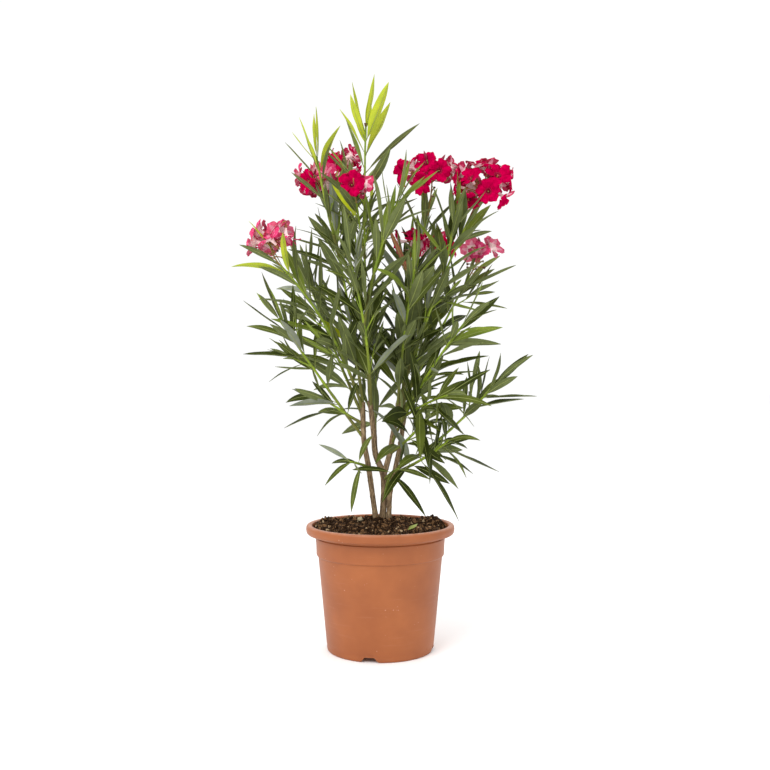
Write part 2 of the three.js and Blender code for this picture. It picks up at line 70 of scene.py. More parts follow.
# The soil. Each noise that breaks up its level has a height, a grain and a seed, and each heap on it has
# a height, the x and y of its middle, and its reach along x and y.
SOIL_EDGE_HEIGHT = 195.5
SOIL_EDGE_RADIUS = 108
SLOPE_RADIUS = 76
SLOPE_HEIGHT = 199
MOUND_RADIUS = 44
GROUND = 207
SOIL_RINGS = 80
SOIL_SIDES = 220
SOIL_NOISES = ((2.6, 17, 1), (2.2, 7, 2), (1.9, 3.5, 3))
SOIL_HEAPS = ((10, 86, 46, 19, 26), (4, -88, 34, 24, 30))
CRUMB_SINK = 0.25
CRUMB_RARITY = 2.6
LUMP_DENTS = (0.55, 1.3)
LUMP_STRETCHES = (0.45, 1.35)
PALE_LUMP = (-33.0, 4.0, 208.0)
PALE_LUMP_SIZE = 4.6
LEAF_SCRAP = (50.0, -66.0, 203.0)

# What lies on it: piece, number, least and greatest size, and finish
CRUMBS = (
    ("peat_crumbs", 1500, (0.8, 3.4), "peat_crumb"),
    ("bark_chips", 1300, (0.6, 3.1), "composted_bark"),
    ("pale_chips", 190, (0.7, 3.2), "weathered_chip"),
)

# The woody stems. The bark has two waves round it, each with a height, a count, a pitch and a shift from
# one stem to the next, and a raised ring at every node.
STEM_FOOT = GROUND - 4
ROOT_FLARE = 1.25
ROOT_FLARE_HEIGHT = 16
BARK_WAVES = ((0.22, 3, 31, 1), (0.12, 5, -23, 0))
BARK_NODE_STEP = 27
BARK_SCAR = 0.55
BARK_SCAR_WIDTH = 1.6
BARK_CRACK = 0.16
STEMS = {
    "stem_left": dict(
        points=[(-7, 20, STEM_FOOT), (-20, 16, 296), (-27, 13, 335), (-29, 10, 398)], foot=4.4, tip=4.3,
    ),
    "stem_middle": dict(
        points=[(4, 29, STEM_FOOT), (5, 28, 275), (-8, 23, 312), (-11, 19, 348), (-17, 14, 400)],
        foot=5.6, tip=4.2,
    ),
    "stem_right": dict(
        points=[(14, 19, STEM_FOOT), (16, 24, 249), (24, 34, 285), (35, 44, 338), (40, 50, 385)],
        foot=4.2, tip=3.8,
    ),
    "arm_right": dict(
        start=("stem_middle", 0.36), points=[(15, 30, 312), (20, 31, 340), (31, 34, 400)],
        foot=4.8, tip=4.2,
    ),
}


def shoot(name, limb, share, tip, bow, bare, leaf, spread, droop, truss=None):
    """One row of the table of green shoots: where it springs from, its tip, how far its arc bows, the
    share of it without leaves, its leaves' length, how far in degrees the oldest stand off, and how far
    they hang. truss is the flowers' centre, their spread and their number."""
    return dict(name=name, limb=limb, share=share, tip=tip, bow=bow, bare=bare, leaf=leaf,
                spread=math.radians(spread), droop=droop, truss=truss)


SHOOTS = [
    shoot("top", "stem_middle", 1, (-24, 20, 850), (-10, 0, 0), 0.06, 112, 52, 0.08),
    shoot("left_high", "stem_left", 0.93, (-155, -70, 612), (26, 0, 18), 0.16, 106, 44, 0.12,
          ((-170, -80, 650), (30, 22, 20), 7)),
    shoot("left_inner", "stem_left", 1, (-84, 40, 720), (6, 2, 0), 0.1, 110, 42, 0.12,
          ((-112, 20, 760), (28, 24, 26), 6)),
    shoot("left_low", "stem_left", 0.7, (-162, -30, 532), (-2, 2, 0), 0.22, 92, 42, 0.1),
    shoot("centre_left", "stem_middle", 0.93, (-48, -78, 626), (16, 0, 3), 0.1, 98, 38, 0.14),
    shoot("centre", "centre_left", 0.56, (28, -90, 708), (-12, 6, 6), 0.1, 98, 38, 0.1),
    shoot("middle", "top", 0.52, (-38, -26, 716), (0, -8, 0), 0.3, 88, 38, 0.1,
          ((-40, -30, 744), (18, 16, 14), 3)),
    shoot("right_high", "arm_right", 1, (146, 0, 700), (-10, 8, 6), 0.08, 110, 42, 0.12,
          ((164, -20, 742), (48, 30, 42), 12)),
    shoot("right_centre", "stem_right", 1, (78, 44, 708), (-18, 2, 4), 0.08, 108, 42, 0.12,
          ((84, 0, 766), (56, 26, 26), 9)),
    shoot("right_upper", "right_high", 0.6, (120, -36, 702), (4, 0, -6), 0.1, 92, 38, 0.08),
    shoot("right_inner", "arm_right", 0.9, (54, -62, 606), (-6, 16, 8), 0.1, 100, 40, 0.14),
    shoot("right_outer", "arm_right", 0.42, (130, -90, 522), (-10, 12, 12), 0.16, 94, 46, 0.12),
    shoot("right_low", "stem_right", 0.45, (180, -20, 424), (10, -6, -14), 0.16, 100, 54, 0.14),
    shoot("right_foot", "stem_right", 0.42, (106, -60, 340), (16, 0, 0), 0.04, 84, 84, 0.4),
    shoot("right_heart", "arm_right", 0.3, (72, -34, 372), (4, 0, -6), 0.1, 86, 80, 0.35),
    shoot("front_foot", "stem_middle", 0.33, (30, -14, 292), (0, 0, 4), 0.2, 70, 110, 0.5),
    shoot("right_fork", "arm_right", 0.7, (104, -70, 410), (0, 0, 10), 0.14, 92, 62, 0.25),
    shoot("left_foot", "stem_left", 0.45, (-48, -20, 303), (0, 0, 3), 0.4, 72, 100, 0.3),
    shoot("left_curl", "stem_left", 0.82, (-92, -6, 404), (6, 0, -6), 0.16, 88, 56, 0.25),
    shoot("upper_left", "left_inner", 0.74, (-102, -20, 792), (-4, -10, 0), 0.2, 86, 42, 0.04),
    shoot("right_mid", "stem_right", 0.86, (50, 74, 632), (-6, 10, 0), 0.12, 106, 42, 0.12,
          ((50, 28, 662), (26, 16, 14), 4)),
    shoot("right_back", "arm_right", 0.78, (152, 70, 612), (-4, 14, 0), 0.14, 106, 44, 0.12,
          ((170, 62, 652), (28, 18, 14), 3)),
    shoot("back_left", "stem_left", 0.88, (-132, 132, 622), (-6, 14, 0), 0.14, 106, 46, 0.12),
    shoot("back_middle", "stem_middle", 0.82, (-52, 124, 764), (0, 16, 0), 0.12, 108, 44, 0.12,
          ((-64, 128, 812), (30, 28, 24), 6)),
    shoot("back_right", "stem_right", 0.7, (92, 150, 636), (0, 16, 0), 0.16, 106, 46, 0.12,
          ((104, 164, 676), (30, 26, 20), 5)),
    shoot("back_low", "stem_middle", 0.6, (-8, 146, 470), (0, 20, -10), 0.2, 94, 54, 0.16),
]

# How a shoot grows, as in the solids
GAP = 0.3
ROOT_SINK = 0.8
TIP_BLUNTNESS = 0.35
SHOOT_RADIUS = 2.7
SHOOT_TIP_RADIUS = 1.5
SHOOT_KNEE_STEP = 28
SHOOT_KNEE = 0.35
SHOOT_KNEE_WIDTH = 2.2
WHORL_STEP = 34
WHORL_TIP_STEP = 0.55
LEAVES_IN_WHORL = 3
TIP_SPREAD = math.radians(17)
SPREAD_PLAY = math.radians(30)
TURN_PLAY = math.radians(60)
FIRST_WHORL = 5
OLD_DEPTH = 100
OLD_SHARE = 0.6
AGE_CURVE = 0.7
LEAF_PLAY = 0.4
TIP_LEAF_SHARE = 0.8
TIP_WIDTH_SHARE = 0.72
BROAD_DEPTH = 60
LEAF_STAGGER = 4
LOST_LEAVES = 0.2
LOST_DEPTH = 60
DROOP_PLAY = 1.2
LEAF_ROOT = 0.6

# The finer growth that the solids leave out: side twigs in the axils of the older whorls
SIDE_TWIG_DEPTH = 60
SIDE_TWIG_CHANCE = 0.32
SIDE_TWIG_LENGTHS = (25.2, 57.6)
SIDE_TWIG_TURN = 2.4
SIDE_TWIG_ANGLE = math.radians(36)
SIDE_TWIG_LIFT = 0.12
SIDE_TWIG_BARE = 0.3
SIDE_TWIG_LEAF = 0.62
SIDE_TWIG_RADIUS = 1.3
SIDE_TWIG_TIP_RADIUS = 0.8

# How a shoot's skin ripens to wood towards its foot: pieces, their shares of its length and finishes
SHOOT_BANDS = (
    ("ripening_shoots", 0, 0.24, "ripening_shoot_skin"),
    ("turning_shoots", 0.24, 0.42, "turning_shoot_skin"),
    ("green_shoots", 0.42, 1, "green_shoot_skin"),
)

# Shoots by the look of their leaves. young and fresh say how far in mm such leaves go down from the tip,
# and how much of that is luck. grown is the share of grown ones among the rest, which are old. The next
# share is of leaves painted a cool grey that stands for glare, a painted reflection, and breadth is how
# broad the young and the other leaves are.
TINTS = ("young", "fresh", "grown", "old", "painted_glare", "withered")
YOUNG, FRESH, GROWN, OLD, PAINTED_GLARE, WITHERED = range(6)
LOOKS = {
    "plain": dict(young=(0, 0), fresh=(85, 100), grown=0.5, painted_glare=0.05, breadth=(1, 1)),
    "bright": dict(young=(0, 50), fresh=(140, 120), grown=0.75, painted_glare=0.05, breadth=(1, 1)),
    "bright_tipped": dict(young=(40, 50), fresh=(140, 120), grown=0.75, painted_glare=0.05, breadth=(1, 1)),
    "yellow_green": dict(young=(78, 60), fresh=(160, 90), grown=0.7, painted_glare=0, breadth=(1.25, 0.7)),
    "shaded": dict(young=(0, 0), fresh=(0, 0), grown=0.42, painted_glare=0.05, breadth=(1.18, 1.18)),
}
LOOK_OF = {name: look for look, names in (
    ("bright", ("left_inner", "centre", "right_high", "right_centre", "right_upper")),
    ("bright_tipped", ("left_high", "middle")),
    ("yellow_green", ("top", "upper_left")),
    ("shaded", ("right_foot", "right_heart", "right_low", "right_fork", "front_foot", "left_foot",
                "left_curl", "back_low")),
) for name in names}
WITHERED_SPOT = (16.0, -60.0, 648.0)

# How far leaves keep from flowers, the rim, the soil and the woody stems
FLOWER_CLEARANCE = 15
RIM_CLEARANCE = 6
SOIL_CLEARANCE = 8
WOOD_CLEARANCE = 6

# A leaf's own form
LEAF_WIDTH = 0.155
LEAF_ROWS = 11
LEAF_COLUMNS = 5
LEAF_THICKNESS = 0.5
LEAF_WIDEST = 0.48
LEAF_BLUNTNESS = 0.86
LEAF_SLIM = 0.95
LEAF_FOLD = 0.34
LEAF_FOLD_PLAY = 0.3
LEAF_WAVE = 0.1
LEAF_ARCH = 0.05
LEAF_ROLL = math.radians(80)
LEAF_TWIST = math.radians(60)
PETIOLE_SHARE = 0.07
MIDRIB_WIDTH = 1.5
MIDRIB_TIP_WIDTH = 0.35
MIDRIB_END = 0.96
MIDRIB_LEAF = 105

# The flowers
FLOWER_RADIUS = 20.6
FLOWER_NOD = 1.1
FLOWER_SIZES = (0.92, 1.08)
FLOWER_OPENINGS = (0.7, 1.3)
PETALS = 5
THROAT_RADIUS = 3.3
THROAT_DEPTH = 9
PEDICEL_RADIUS = 0.9
PEDUNCLE_RADIUS = 1.3
PEDUNCLE_TIP_RADIUS = 1.1
TRUSS_BRANCHING = 0.3
TRUSS_DOME = 1.5
TRUSS_LEAN = 0.5
DRIED_CALYCES = {"right_back": 6, "left_high": 4}
PINK_SHARES = {"left_high": 1.0, "right_back": 1.0, "left_inner": 0.6}

# Which way the flowers of some trusses turn, beyond the dome's own facing
TRUSS_TURNS = {"left_high": (-0.9, 0.8, 0.2), "right_back": (0.5, 0.5, 0.2), "left_inner": (-0.6, 0.2, 0.0)}

# A petal's own form, by the share of its reach. Its faces fall into three zones.
CLAW, STREAK, BLADE = range(3)
PETAL_ROWS = (0, 0.14, 0.3, 0.46, 0.62, 0.76, 0.87, 0.95, 1)
PETAL_COLUMNS = 6
PETAL_THICKNESS = 0.5
CLAW_WIDTH = 5.2
CLAW_SHARE = 0.3
PETAL_WIDTH = 19.6
PETAL_FULL = 0.6
LOBE_START = 0.5
LOBE_LENGTH = 0.502
LOBE_ROUNDNESS = 2.6
PETAL_SKEW = 2.6
PETAL_STREAK = ((0, 0.2, 0.7, 1), (0.45, 0.5, 0.1, 0.3))
PETAL_LENGTH_PLAY = 0.06
PETAL_WIDTH_PLAY = 0.1
TIP_RAGGEDNESS = 0.07
SIDE_RAGGEDNESS = 0.07
PETAL_CURLS = (-5.5, 2.5)
PETAL_LAP = 5
PETAL_CUP = 1.8
PETAL_RUFFLE = 1.3
DISH_CURVE = 2.4

# Outlines as radius and height from the flower's face. The calyx closes round the funnel's foot. Buds
# and dried calyces have turns from one to the next, and reaches from the heart or the stalk.
TUBE_FOOT = -24
FUNNEL = ((THROAT_RADIUS + 0.3, -THROAT_DEPTH), (2.9, -11), (2.4, -14), (1.9, -17.5), (1.5, -21),
          (1.3, TUBE_FOOT))
LINING = ((0.4, -18), (1.2, -15.5), (2.2, -12), (THROAT_RADIUS, -THROAT_DEPTH))
ANTHERS = ((1.4, -12.5), (1.5, -9.5), (0.9, -7), (0.2, -4.6))
CALYX = ((0.9, -25.5), (1.7, -24), (2.2, -22), (2.0, -19.2), (1.3, -19))
DRIED_STAR = ((0.5, -1), (1.3, 0.5), (2.4, 3.4), (1.1, 2.6), (0.3, 1.2))
BUD_RADIUS = 2.3
BUD_LENGTH = 15
BUD_FOOT = 6
BUD_TURN = 2.1
BUD_SIZES = (0.7, 1.2)
BUD_REACHES = (0.55, 0.95)
BUD_RIDGES = 0.12
DRIED_TURN = 2.6
DRIED_REACH = 12
DRIED_TOP = 0.58
DRIED_FOOT = 0.5
DRIED_STEP = 0.08

# Living skins. Each row has the material's name, its colour and the shade that it drifts to, its
# roughness, the grain of its relief in mm and its strength, the size of its patches in mm, and its gloss.
SKINS = (
    # Last year's shoot: dull olive that turns to wood
    ("ripening_shoot_skin", "#6c6f2c", "#5c5a2a", 0.6, 3, 0.4, 30, 0.3),
    # Between wood and green: olive with a faint sheen
    ("turning_shoot_skin", "#7d8a2c", "#687329", 0.55, 3, 0.35, 30, 0.3),
    # Smooth waxy shoot: fresh green with a soft highlight along it
    ("green_shoot_skin", "#8fa32c", "#748a28", 0.5, 3, 0.3, 30, 0.3),
    # Thin new leaf: yellow-green, as if lit through
    ("young_leaf_face", "#b6be1e", "#9fae20", 0.55, 4, 0.3, 30, 0.1),
    # This year's leaf: mid green with a slight wax
    ("fresh_leaf_face", "#76862c", "#627325", 0.5, 4, 0.3, 30, 0.16),
    # Leathery leaf: dull mid green
    ("grown_leaf_face", "#596322", "#47511b", 0.5, 4, 0.3, 30, 0.12),
    # Last year's leaf: dark green and flat
    ("old_leaf_face", "#3b4414", "#2c340f", 0.5, 4, 0.3, 30, 0.07),
    # Leaf that catches the light: a cool grey painted glare, a painted reflection in its colour
    ("painted_glare_leaf_face", "#868c78", "#6d7462", 0.5, 4, 0.3, 30, 0.5),
    # Dead leaf: dry red-brown
    ("withered_leaf_face", "#94583a", "#7a4228", 0.8, 3, 0.4, 30, 0.5),
    # Underside of a new leaf: pale yellow-green, matt
    ("young_leaf_back", "#b9c236", "#a3b23a", 0.62, 3, 0.3, 30, 0.1),
    # Downy underside: grey-green, matt
    ("mature_leaf_back", "#6a7346", "#5a623a", 0.7, 3, 0.3, 30, 0.08),
    # Midrib: a pale line down the leaf
    ("leaf_midrib", "#949c50", "#7f8a41", 0.5, 3, 0.2, 30, 0.5),
    # Velvety petal: deep crimson without any shine
    ("crimson_petal", "#be0044", "#960030", 0.9, 2, 0.4, 6, 0.0),
    # Velvety petal: mottled pink
    ("pink_petal", "#da4a78", "#b72154", 0.8, 2, 0.4, 6, 0.1),
    # Its paler middle
    ("streaked_petal", "#e58ba5", "#d96d8e", 0.8, 2, 0.4, 6, 0.1),
    # Its palest parts: blush, soft
    ("blush_petal", "#f3b6c6", "#e893ad", 0.8, 2, 0.4, 6, 0.15),
    # Crimson in its own shade: a dark ring round the throat
    ("deep_throat", "#a8143f", "#8e0f35", 0.8, 2, 0.3, 30, 0.1),
    # Back of a pink petal: lighter than its face, partly its own colour, partly painted light through the
    # petal
    ("pink_petal_back", "#f2819f", "#de567f", 0.8, 2, 0.4, 6, 0.1),
    # Smooth tube of the flower: near white with a rose tinge
    ("pale_throat", "#f9dedd", "#f3cccd", 0.6, 2, 0.2, 30, 0.5),
    # Back of a crimson petal: rose, partly its own colour, partly painted light shining through the petal
    ("rose_petal_back", "#da4a74", "#b4264f", 0.8, 2, 0.4, 6, 0.1),
    # Dusty anthers: a straw-brown point in the throat
    ("anther_cone", "#b98f58", "#8f6a38", 0.8, 1, 0.4, 3, 0.5),
    # Calyx: red-brown and waxy
    ("calyx_skin", "#a5563c", "#8d6b3a", 0.6, 3, 0.3, 30, 0.5),
    # Flower stalk: red-brown that drifts to olive
    ("flower_stalk_skin", "#a8623f", "#8c7f3c", 0.55, 3, 0.3, 12, 0.5),
    # Furled bud: dark crimson with a silky highlight
    ("furled_bud", "#8f0830", "#78062a", 0.55, 2, 0.3, 30, 0.5),
    # Dried calyx: dull brown husk
    ("dried_calyx", "#6b4a30", "#543823", 0.85, 2, 0.5, 30, 0.5),
)

# Mixes in the soil, with their dark, middle and pale tones and the size of their grain in mm
MIXES = (
    # Wet peat: nearly black, with brown fibre on top
    ("moist_peat", "#0a0502", "#2c1a0b", "#84674d", 3),
    # Wet fibre that clings in dark clots
    ("peat_crumb", "#090402", "#29180a", "#664c33", 2),
    # Splinters of warm brown bark
    ("composted_bark", "#432b18", "#775739", "#a98a69", 1.4),
    # Dry bits bleached to straw
    ("weathered_chip", "#80684b", "#a98f6e", "#cab595", 2),
    # Pressed wood fibre: a dry, pale clod
    ("wood_pulp_lump", "#8f7f62", "#b5a688", "#cdc2a4", 2),
)

# The studio: its lamps have a place and a size in metres, and a power in watts
FLOOR_REACH = 60.0
SURROUND_STRENGTH = 1.03
LAMPS = (
    ("key_light", (-1.1, -1.7, 1.9), 1.4, 37.0),
    ("fill_light", (1.5, -1.5, 1.0), 1.4, 5.0),
    ("back_light", (0.3, 1.6, 1.9), 1.4, 10.0),
)
LAMP_AIM = (0.0, 0.0, 0.5)
CAMERA_PLACE = (7.6, -1505.0, 426.0)
CAMERA_FAR = 100
FRAME_PIXELS = 770
FOCAL_PIXELS = 928
SENSOR_MM = 36


# Numbers, curves and grids

def unit(vectors):
    """Vectors of length 1 with the same directions."""
    return vectors / np.linalg.norm(vectors, axis=-1, keepdims=True)


def lerp(low, high, share):
    """The value at a share of the way from low to high."""
    return low + (high - low) * share


def swung(first, second, angle):
    """first times an angle's cosine and second times its sine: what lies at that angle between them."""
    return first * np.cos(angle) + second * np.sin(angle)


def chance(*keys):
    """A repeatable random number from 0 to 1 for each row of whole-number keys, mixed as in the solids:
    each key is added in by exclusive or, and 32-bit products and shifts spread it over the number."""
    keys = np.broadcast_arrays(*(np.atleast_1d(np.asarray(key, dtype=np.uint64)) for key in keys))
    word = np.uint64(0xFFFFFFFF)
    mix = np.full(keys[0].shape, 0x2545F491, dtype=np.uint64)
    for key in keys:
        mix = ((mix ^ (key + np.uint64(1))) * np.uint64(0x01000193)) & word
        mix = mix ^ (mix >> np.uint64(15))
        mix = (mix * np.uint64(0x2C1B3C6D)) & word
        mix = mix ^ (mix >> np.uint64(12))
    return mix / 2.0**32


def crumble(x, y, grain, seed):
    """Smooth noise from -1 to 1: random values on a square lattice of that grain, blended between its
    corners by the cubic 3t^2 - 2t^3."""
    lattice = np.random.default_rng(seed).uniform(-1, 1, (LATTICE, LATTICE))
    u, v = np.broadcast_arrays(x / grain, y / grain)
    i, j = np.floor(u).astype(int), np.floor(v).astype(int)
    across, along = (share**2 * (3 - 2 * share) for share in (u - i, v - j))
    left, right = i % LATTICE, (i + 1) % LATTICE
    rows = (j % LATTICE, (j + 1) % LATTICE)
    near, far = (lerp(lattice[left, row], lattice[right, row], across) for row in rows)
    return lerp(near, far, along)


class Run:
    """A limb's curve, read by the share of its length. place is its formula over its own parameter, and
    a table of chord lengths turns a share of the length into that parameter."""

    STEPS = np.linspace(0, 1, 201)
    NUDGE = 1e-3

    def __init__(self, place):
        self.place = place
        chords = np.linalg.norm(np.diff(place(self.STEPS), axis=0), axis=1)
        self.lengths = np.concatenate([[0], np.cumsum(chords)])
        self.length = self.lengths[-1]

    def parameter(self, share):
        """The formula's parameter at a share of the length."""
        return np.interp(np.atleast_1d(share) * self.length, self.lengths, self.STEPS)

    def at(self, share):
        """The places there."""
        return self.place(self.parameter(share))

    def along(self, share):
        """The directions there, each from a place just before to one just after."""
        t = self.parameter(share)
        return unit(self.place(np.clip(t + self.NUDGE, 0, 1)) - self.place(np.clip(t - self.NUDGE, 0, 1)))


def arc_run(start, handle, tip):
    """A quadratic Bezier curve: (1-t)^2 start + 2t(1-t) handle + t^2 tip."""
    start, handle, tip = (np.asarray(point, dtype=float) for point in (start, handle, tip))

    def place(t):
        t = np.asarray(t)[:, None]
        return (1 - t) ** 2 * start + 2 * t * (1 - t) * handle + t**2 * tip

    return Run(place)


def smooth_run(points):
    """A centripetal Catmull-Rom curve: a cubic between each two points whose end slopes weigh the
    neighbouring chords by the square roots of their lengths. The ends are carried on straight."""
    points = np.asarray(points, dtype=float)
    carried = np.vstack([2 * points[0] - points[1], points, 2 * points[-1] - points[-2]])
    chords = np.diff(carried, axis=0)
    knots = np.sqrt(np.linalg.norm(chords, axis=1))[:, None]
    last = len(points) - 2

    def place(t):
        span = np.clip((np.asarray(t) * (last + 1)).astype(int), 0, last)
        w = (np.asarray(t) * (last + 1) - span)[:, None]
        before, here, after = knots[span], knots[span + 1], knots[span + 2]
        step = chords[span + 1]
        two = carried[span + 2] - carried[span]
        leave = (chords[span] / before - two / (before + here) + step / here) * here
        two = carried[span + 3] - carried[span + 1]
        arrive = (step / here - two / (here + after) + chords[span + 2] / after) * here
        return carried[span + 1] + leave * w + (3 * step - 2 * leave - arrive) * w**2 + (
            leave + arrive - 2 * step) * w**3

    return Run(place)


def cross_frame(along):
    """The directions across a limb: sideways and outwards, square to its run."""
    side = unit(np.cross(along, (0.0, 1.0, 0.0)))
    return side, np.cross(side, along)


def turned_to(facing, spin):
    """Matrices that spin about +Z and then turn +Z the shortest way to a facing."""
    x, y, z = np.moveaxis(facing, -1, 0)
    k = 1 / (1 + np.maximum(z, -0.999))
    c, s, o = np.cos(spin), np.sin(spin), np.zeros_like(spin)
    tilt, roll = (
        np.stack([np.stack(row, -1) for row in rows], -2) for rows in (
            ((1 - x * x * k, -x * y * k, x), (-x * y * k, 1 - y * y * k, y), (-x, -y, z)),
            ((c, -s, o), (s, c, o), (o, o, o + 1)),
        ))
    return tilt @ roll


def spun(reach, aside, height, turn):
    """Points at a reach from the +Z axis and a distance aside of it, turned about the axis."""
    return np.stack(np.broadcast_arrays(swung(reach, -aside, turn), swung(aside, reach, turn), height), -1)


def revolved(outline, sides):
    """A surface of revolution round the +Z axis: one row for each radius and height of its outline."""
    radius, height = np.asarray(outline, dtype=float).T[..., None]
    return spun(radius, 0, height, np.linspace(0, FULL_TURN, sides, endpoint=False))


def placed(local, places):
    """A local grid, or one for each place, scaled, turned and moved there: (count, rows, columns, 3)."""
    local = (local if local.ndim == 4 else local[None]) * places["size"][:, None, None, None]
    return np.einsum("nij,nrcj->nrci", places["turn"], local) + places["middle"][:, None, None]


def grids(points, wrap=False, flip=False, caps=False, keep=None):
    """Spots and faces of grids given as (count, rows, columns, 3). Faces look along rows x columns. wrap
    joins the last column to the first, and caps closes the first and last rows of such a tube. keep picks
    faces by row and column. A flipped face starts at the same corner, so that both sides of a sheet are
    split along the same diagonal and never pass through each other."""
    points = points[None] if points.ndim == 3 else points
    count, rows, columns = points.shape[:3]
    i, j = np.meshgrid(np.arange(rows - 1), np.arange(columns if wrap else columns - 1), indexing="ij")
    k = (j + 1) % columns
    quads = np.stack([i * columns + j, (i + 1) * columns + j, (i + 1) * columns + k, i * columns + k], -1)
    groups = [quads.reshape(-1, 4) if keep is None else quads[keep]]
    if caps:
        around = np.arange(columns)
        groups.append(np.stack([around, (rows - 1) * columns + around[::-1]]))
    starts = np.arange(count)[:, None, None] * (rows * columns)
    if flip:
        groups = [np.roll(faces[:, ::-1], 1, axis=1) for faces in groups]
    groups = [(faces[None] + starts).reshape(-1, faces.shape[1]) for faces in groups]
    return points.reshape(-1, 3), groups


def closed(points, flip=True):
    """Round grids with both ends capped. Those of an outline that runs upwards face out when flipped."""
    return grids(points, wrap=True, flip=flip, caps=True)


def tube(run, radii, sides, step, start=0.0, end=1.0, relief=None):
    """A round limb: rings square to the run, tapering evenly from foot to tip, with relief added by the
    angle round it and the length along it. A foot starts set back into the parent limb, across the gap
    that the solids keep, and a last ring, drawn in at the same place, blunts a tip."""
    rings = max(4, int(run.length * (end - start) / step) + 1)
    share = np.linspace(start, end, rings)
    if start == 0:
        share = np.insert(share, 0, 0)
    if end == 1:
        share = np.append(share, 1)
    middle, along = run.at(share), run.along(share)
    if start == 0:
        middle[0] -= along[0] * ROOT_SINK
    angle = np.linspace(0, FULL_TURN, sides, endpoint=False)
    side, out = cross_frame(along)
    reach = np.repeat(lerp(*radii, share)[:, None], sides, axis=1)
    if relief is not None:
        reach = reach + relief(angle[None], share[:, None] * run.length)
    if end == 1:
        reach[-1] *= TIP_BLUNTNESS
    ring = swung(side[:, None], out[:, None], angle[None, :, None])
    return closed(middle[:, None] + reach[..., None] * ring, flip=False)


def piece(name, parts, finish, replaces=()):
    """One object from parts, each the spots and faces of its grids, with a finish by name. Spots without a
    face are left out."""
    corners, sizes, first = [], [], 0
    for spots, groups in parts:
        for faces in groups:
            corners.append((faces + first).ravel())
            sizes.append(np.full(len(faces), faces.shape[1]))
        first += len(spots)
    sizes = np.concatenate(sizes)
    used, corners = np.unique(np.concatenate(corners), return_inverse=True)
    spots = np.concatenate([spots for spots, _ in parts])[used]
    mesh = bpy.data.meshes.new(name)
    for items, key, values in (
        (mesh.vertices, "co", spots * MM),
        (mesh.loops, "vertex_index", corners),
        (mesh.polygons, "loop_start", np.cumsum(sizes) - sizes),
    ):
        items.add(len(values))
        items.foreach_set(key, values.ravel())
    mesh.polygons.foreach_set("use_smooth", np.ones(len(sizes), dtype=bool))
    mesh.update(calc_edges=True)
    mesh.validate()
    mesh.materials.append(bpy.data.materials[finish])
    made = bpy.data.objects.new(name, mesh)
    bpy.context.scene.collection.objects.link(made)
    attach(made, "root")
    if replaces:
        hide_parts(*replaces)


# Materials

def linear(code):
    """An sRGB hex colour as linear red, green, blue and alpha."""
    channels = np.array([int(code[i:i + 2], 16) for i in (1, 3, 5)]) / 255
    straight = np.where(channels <= 0.04045, channels / 12.92, ((channels + 0.055) / 1.055) ** 2.4)
    return (*straight, 1.0)


def add(tree, kind, settings=None, *values, **inputs):
    """Adds a node. settings are its own properties, or the stops of a ramp. values fill its first sockets
    in turn, and inputs fill others by name with _ for a space. Each is a value, an output, or a node that
    stands for its first output."""
    made = tree.nodes.new("ShaderNode" + kind)
    for key, value in (settings or {}).items():
        if key == "stops":
            ramp = made.color_ramp.elements
            while len(ramp) < len(value):
                ramp.new(0.5)
            for stop, (position, code) in zip(ramp, value):
                stop.position, stop.color = position, linear(code)
        else:
            setattr(made, key, value)
    named = [(made.inputs[key.replace("_", " ")], value) for key, value in inputs.items()]
    for socket, value in (*zip(made.inputs, values), *named):
        value = value.outputs[0] if isinstance(value, bpy.types.Node) else value
        if isinstance(value, bpy.types.NodeSocket):
            tree.links.new(value, socket)
        else:
            socket.default_value = value
    return made


def material(name):
    """A new material's empty tree, and its object coordinates."""
    made = bpy.data.materials.new(name)
    made.use_nodes = True
    made.node_tree.nodes.clear()
    return made.node_tree, add(made.node_tree, "TexCoord").outputs["Object"]


def skinned(tree, colour, roughness, gloss, height, strength, depth):
    """The shader of a material, with its colour, its roughness, its gloss, and relief from a height by a
    strength and a depth in mm."""
    bump = add(tree, "Bump", Height=height, Strength=strength, Distance=depth * MM)
    shader = add(tree, "BsdfPrincipled", Base_Color=colour, Roughness=roughness, Specular_IOR_Level=gloss,
                 Normal=bump)
    add(tree, "OutputMaterial", Surface=shader)


def per_mm(size):
    """A pattern's scale where one repeat is that many millimetres."""
    return 1 / (size * MM)


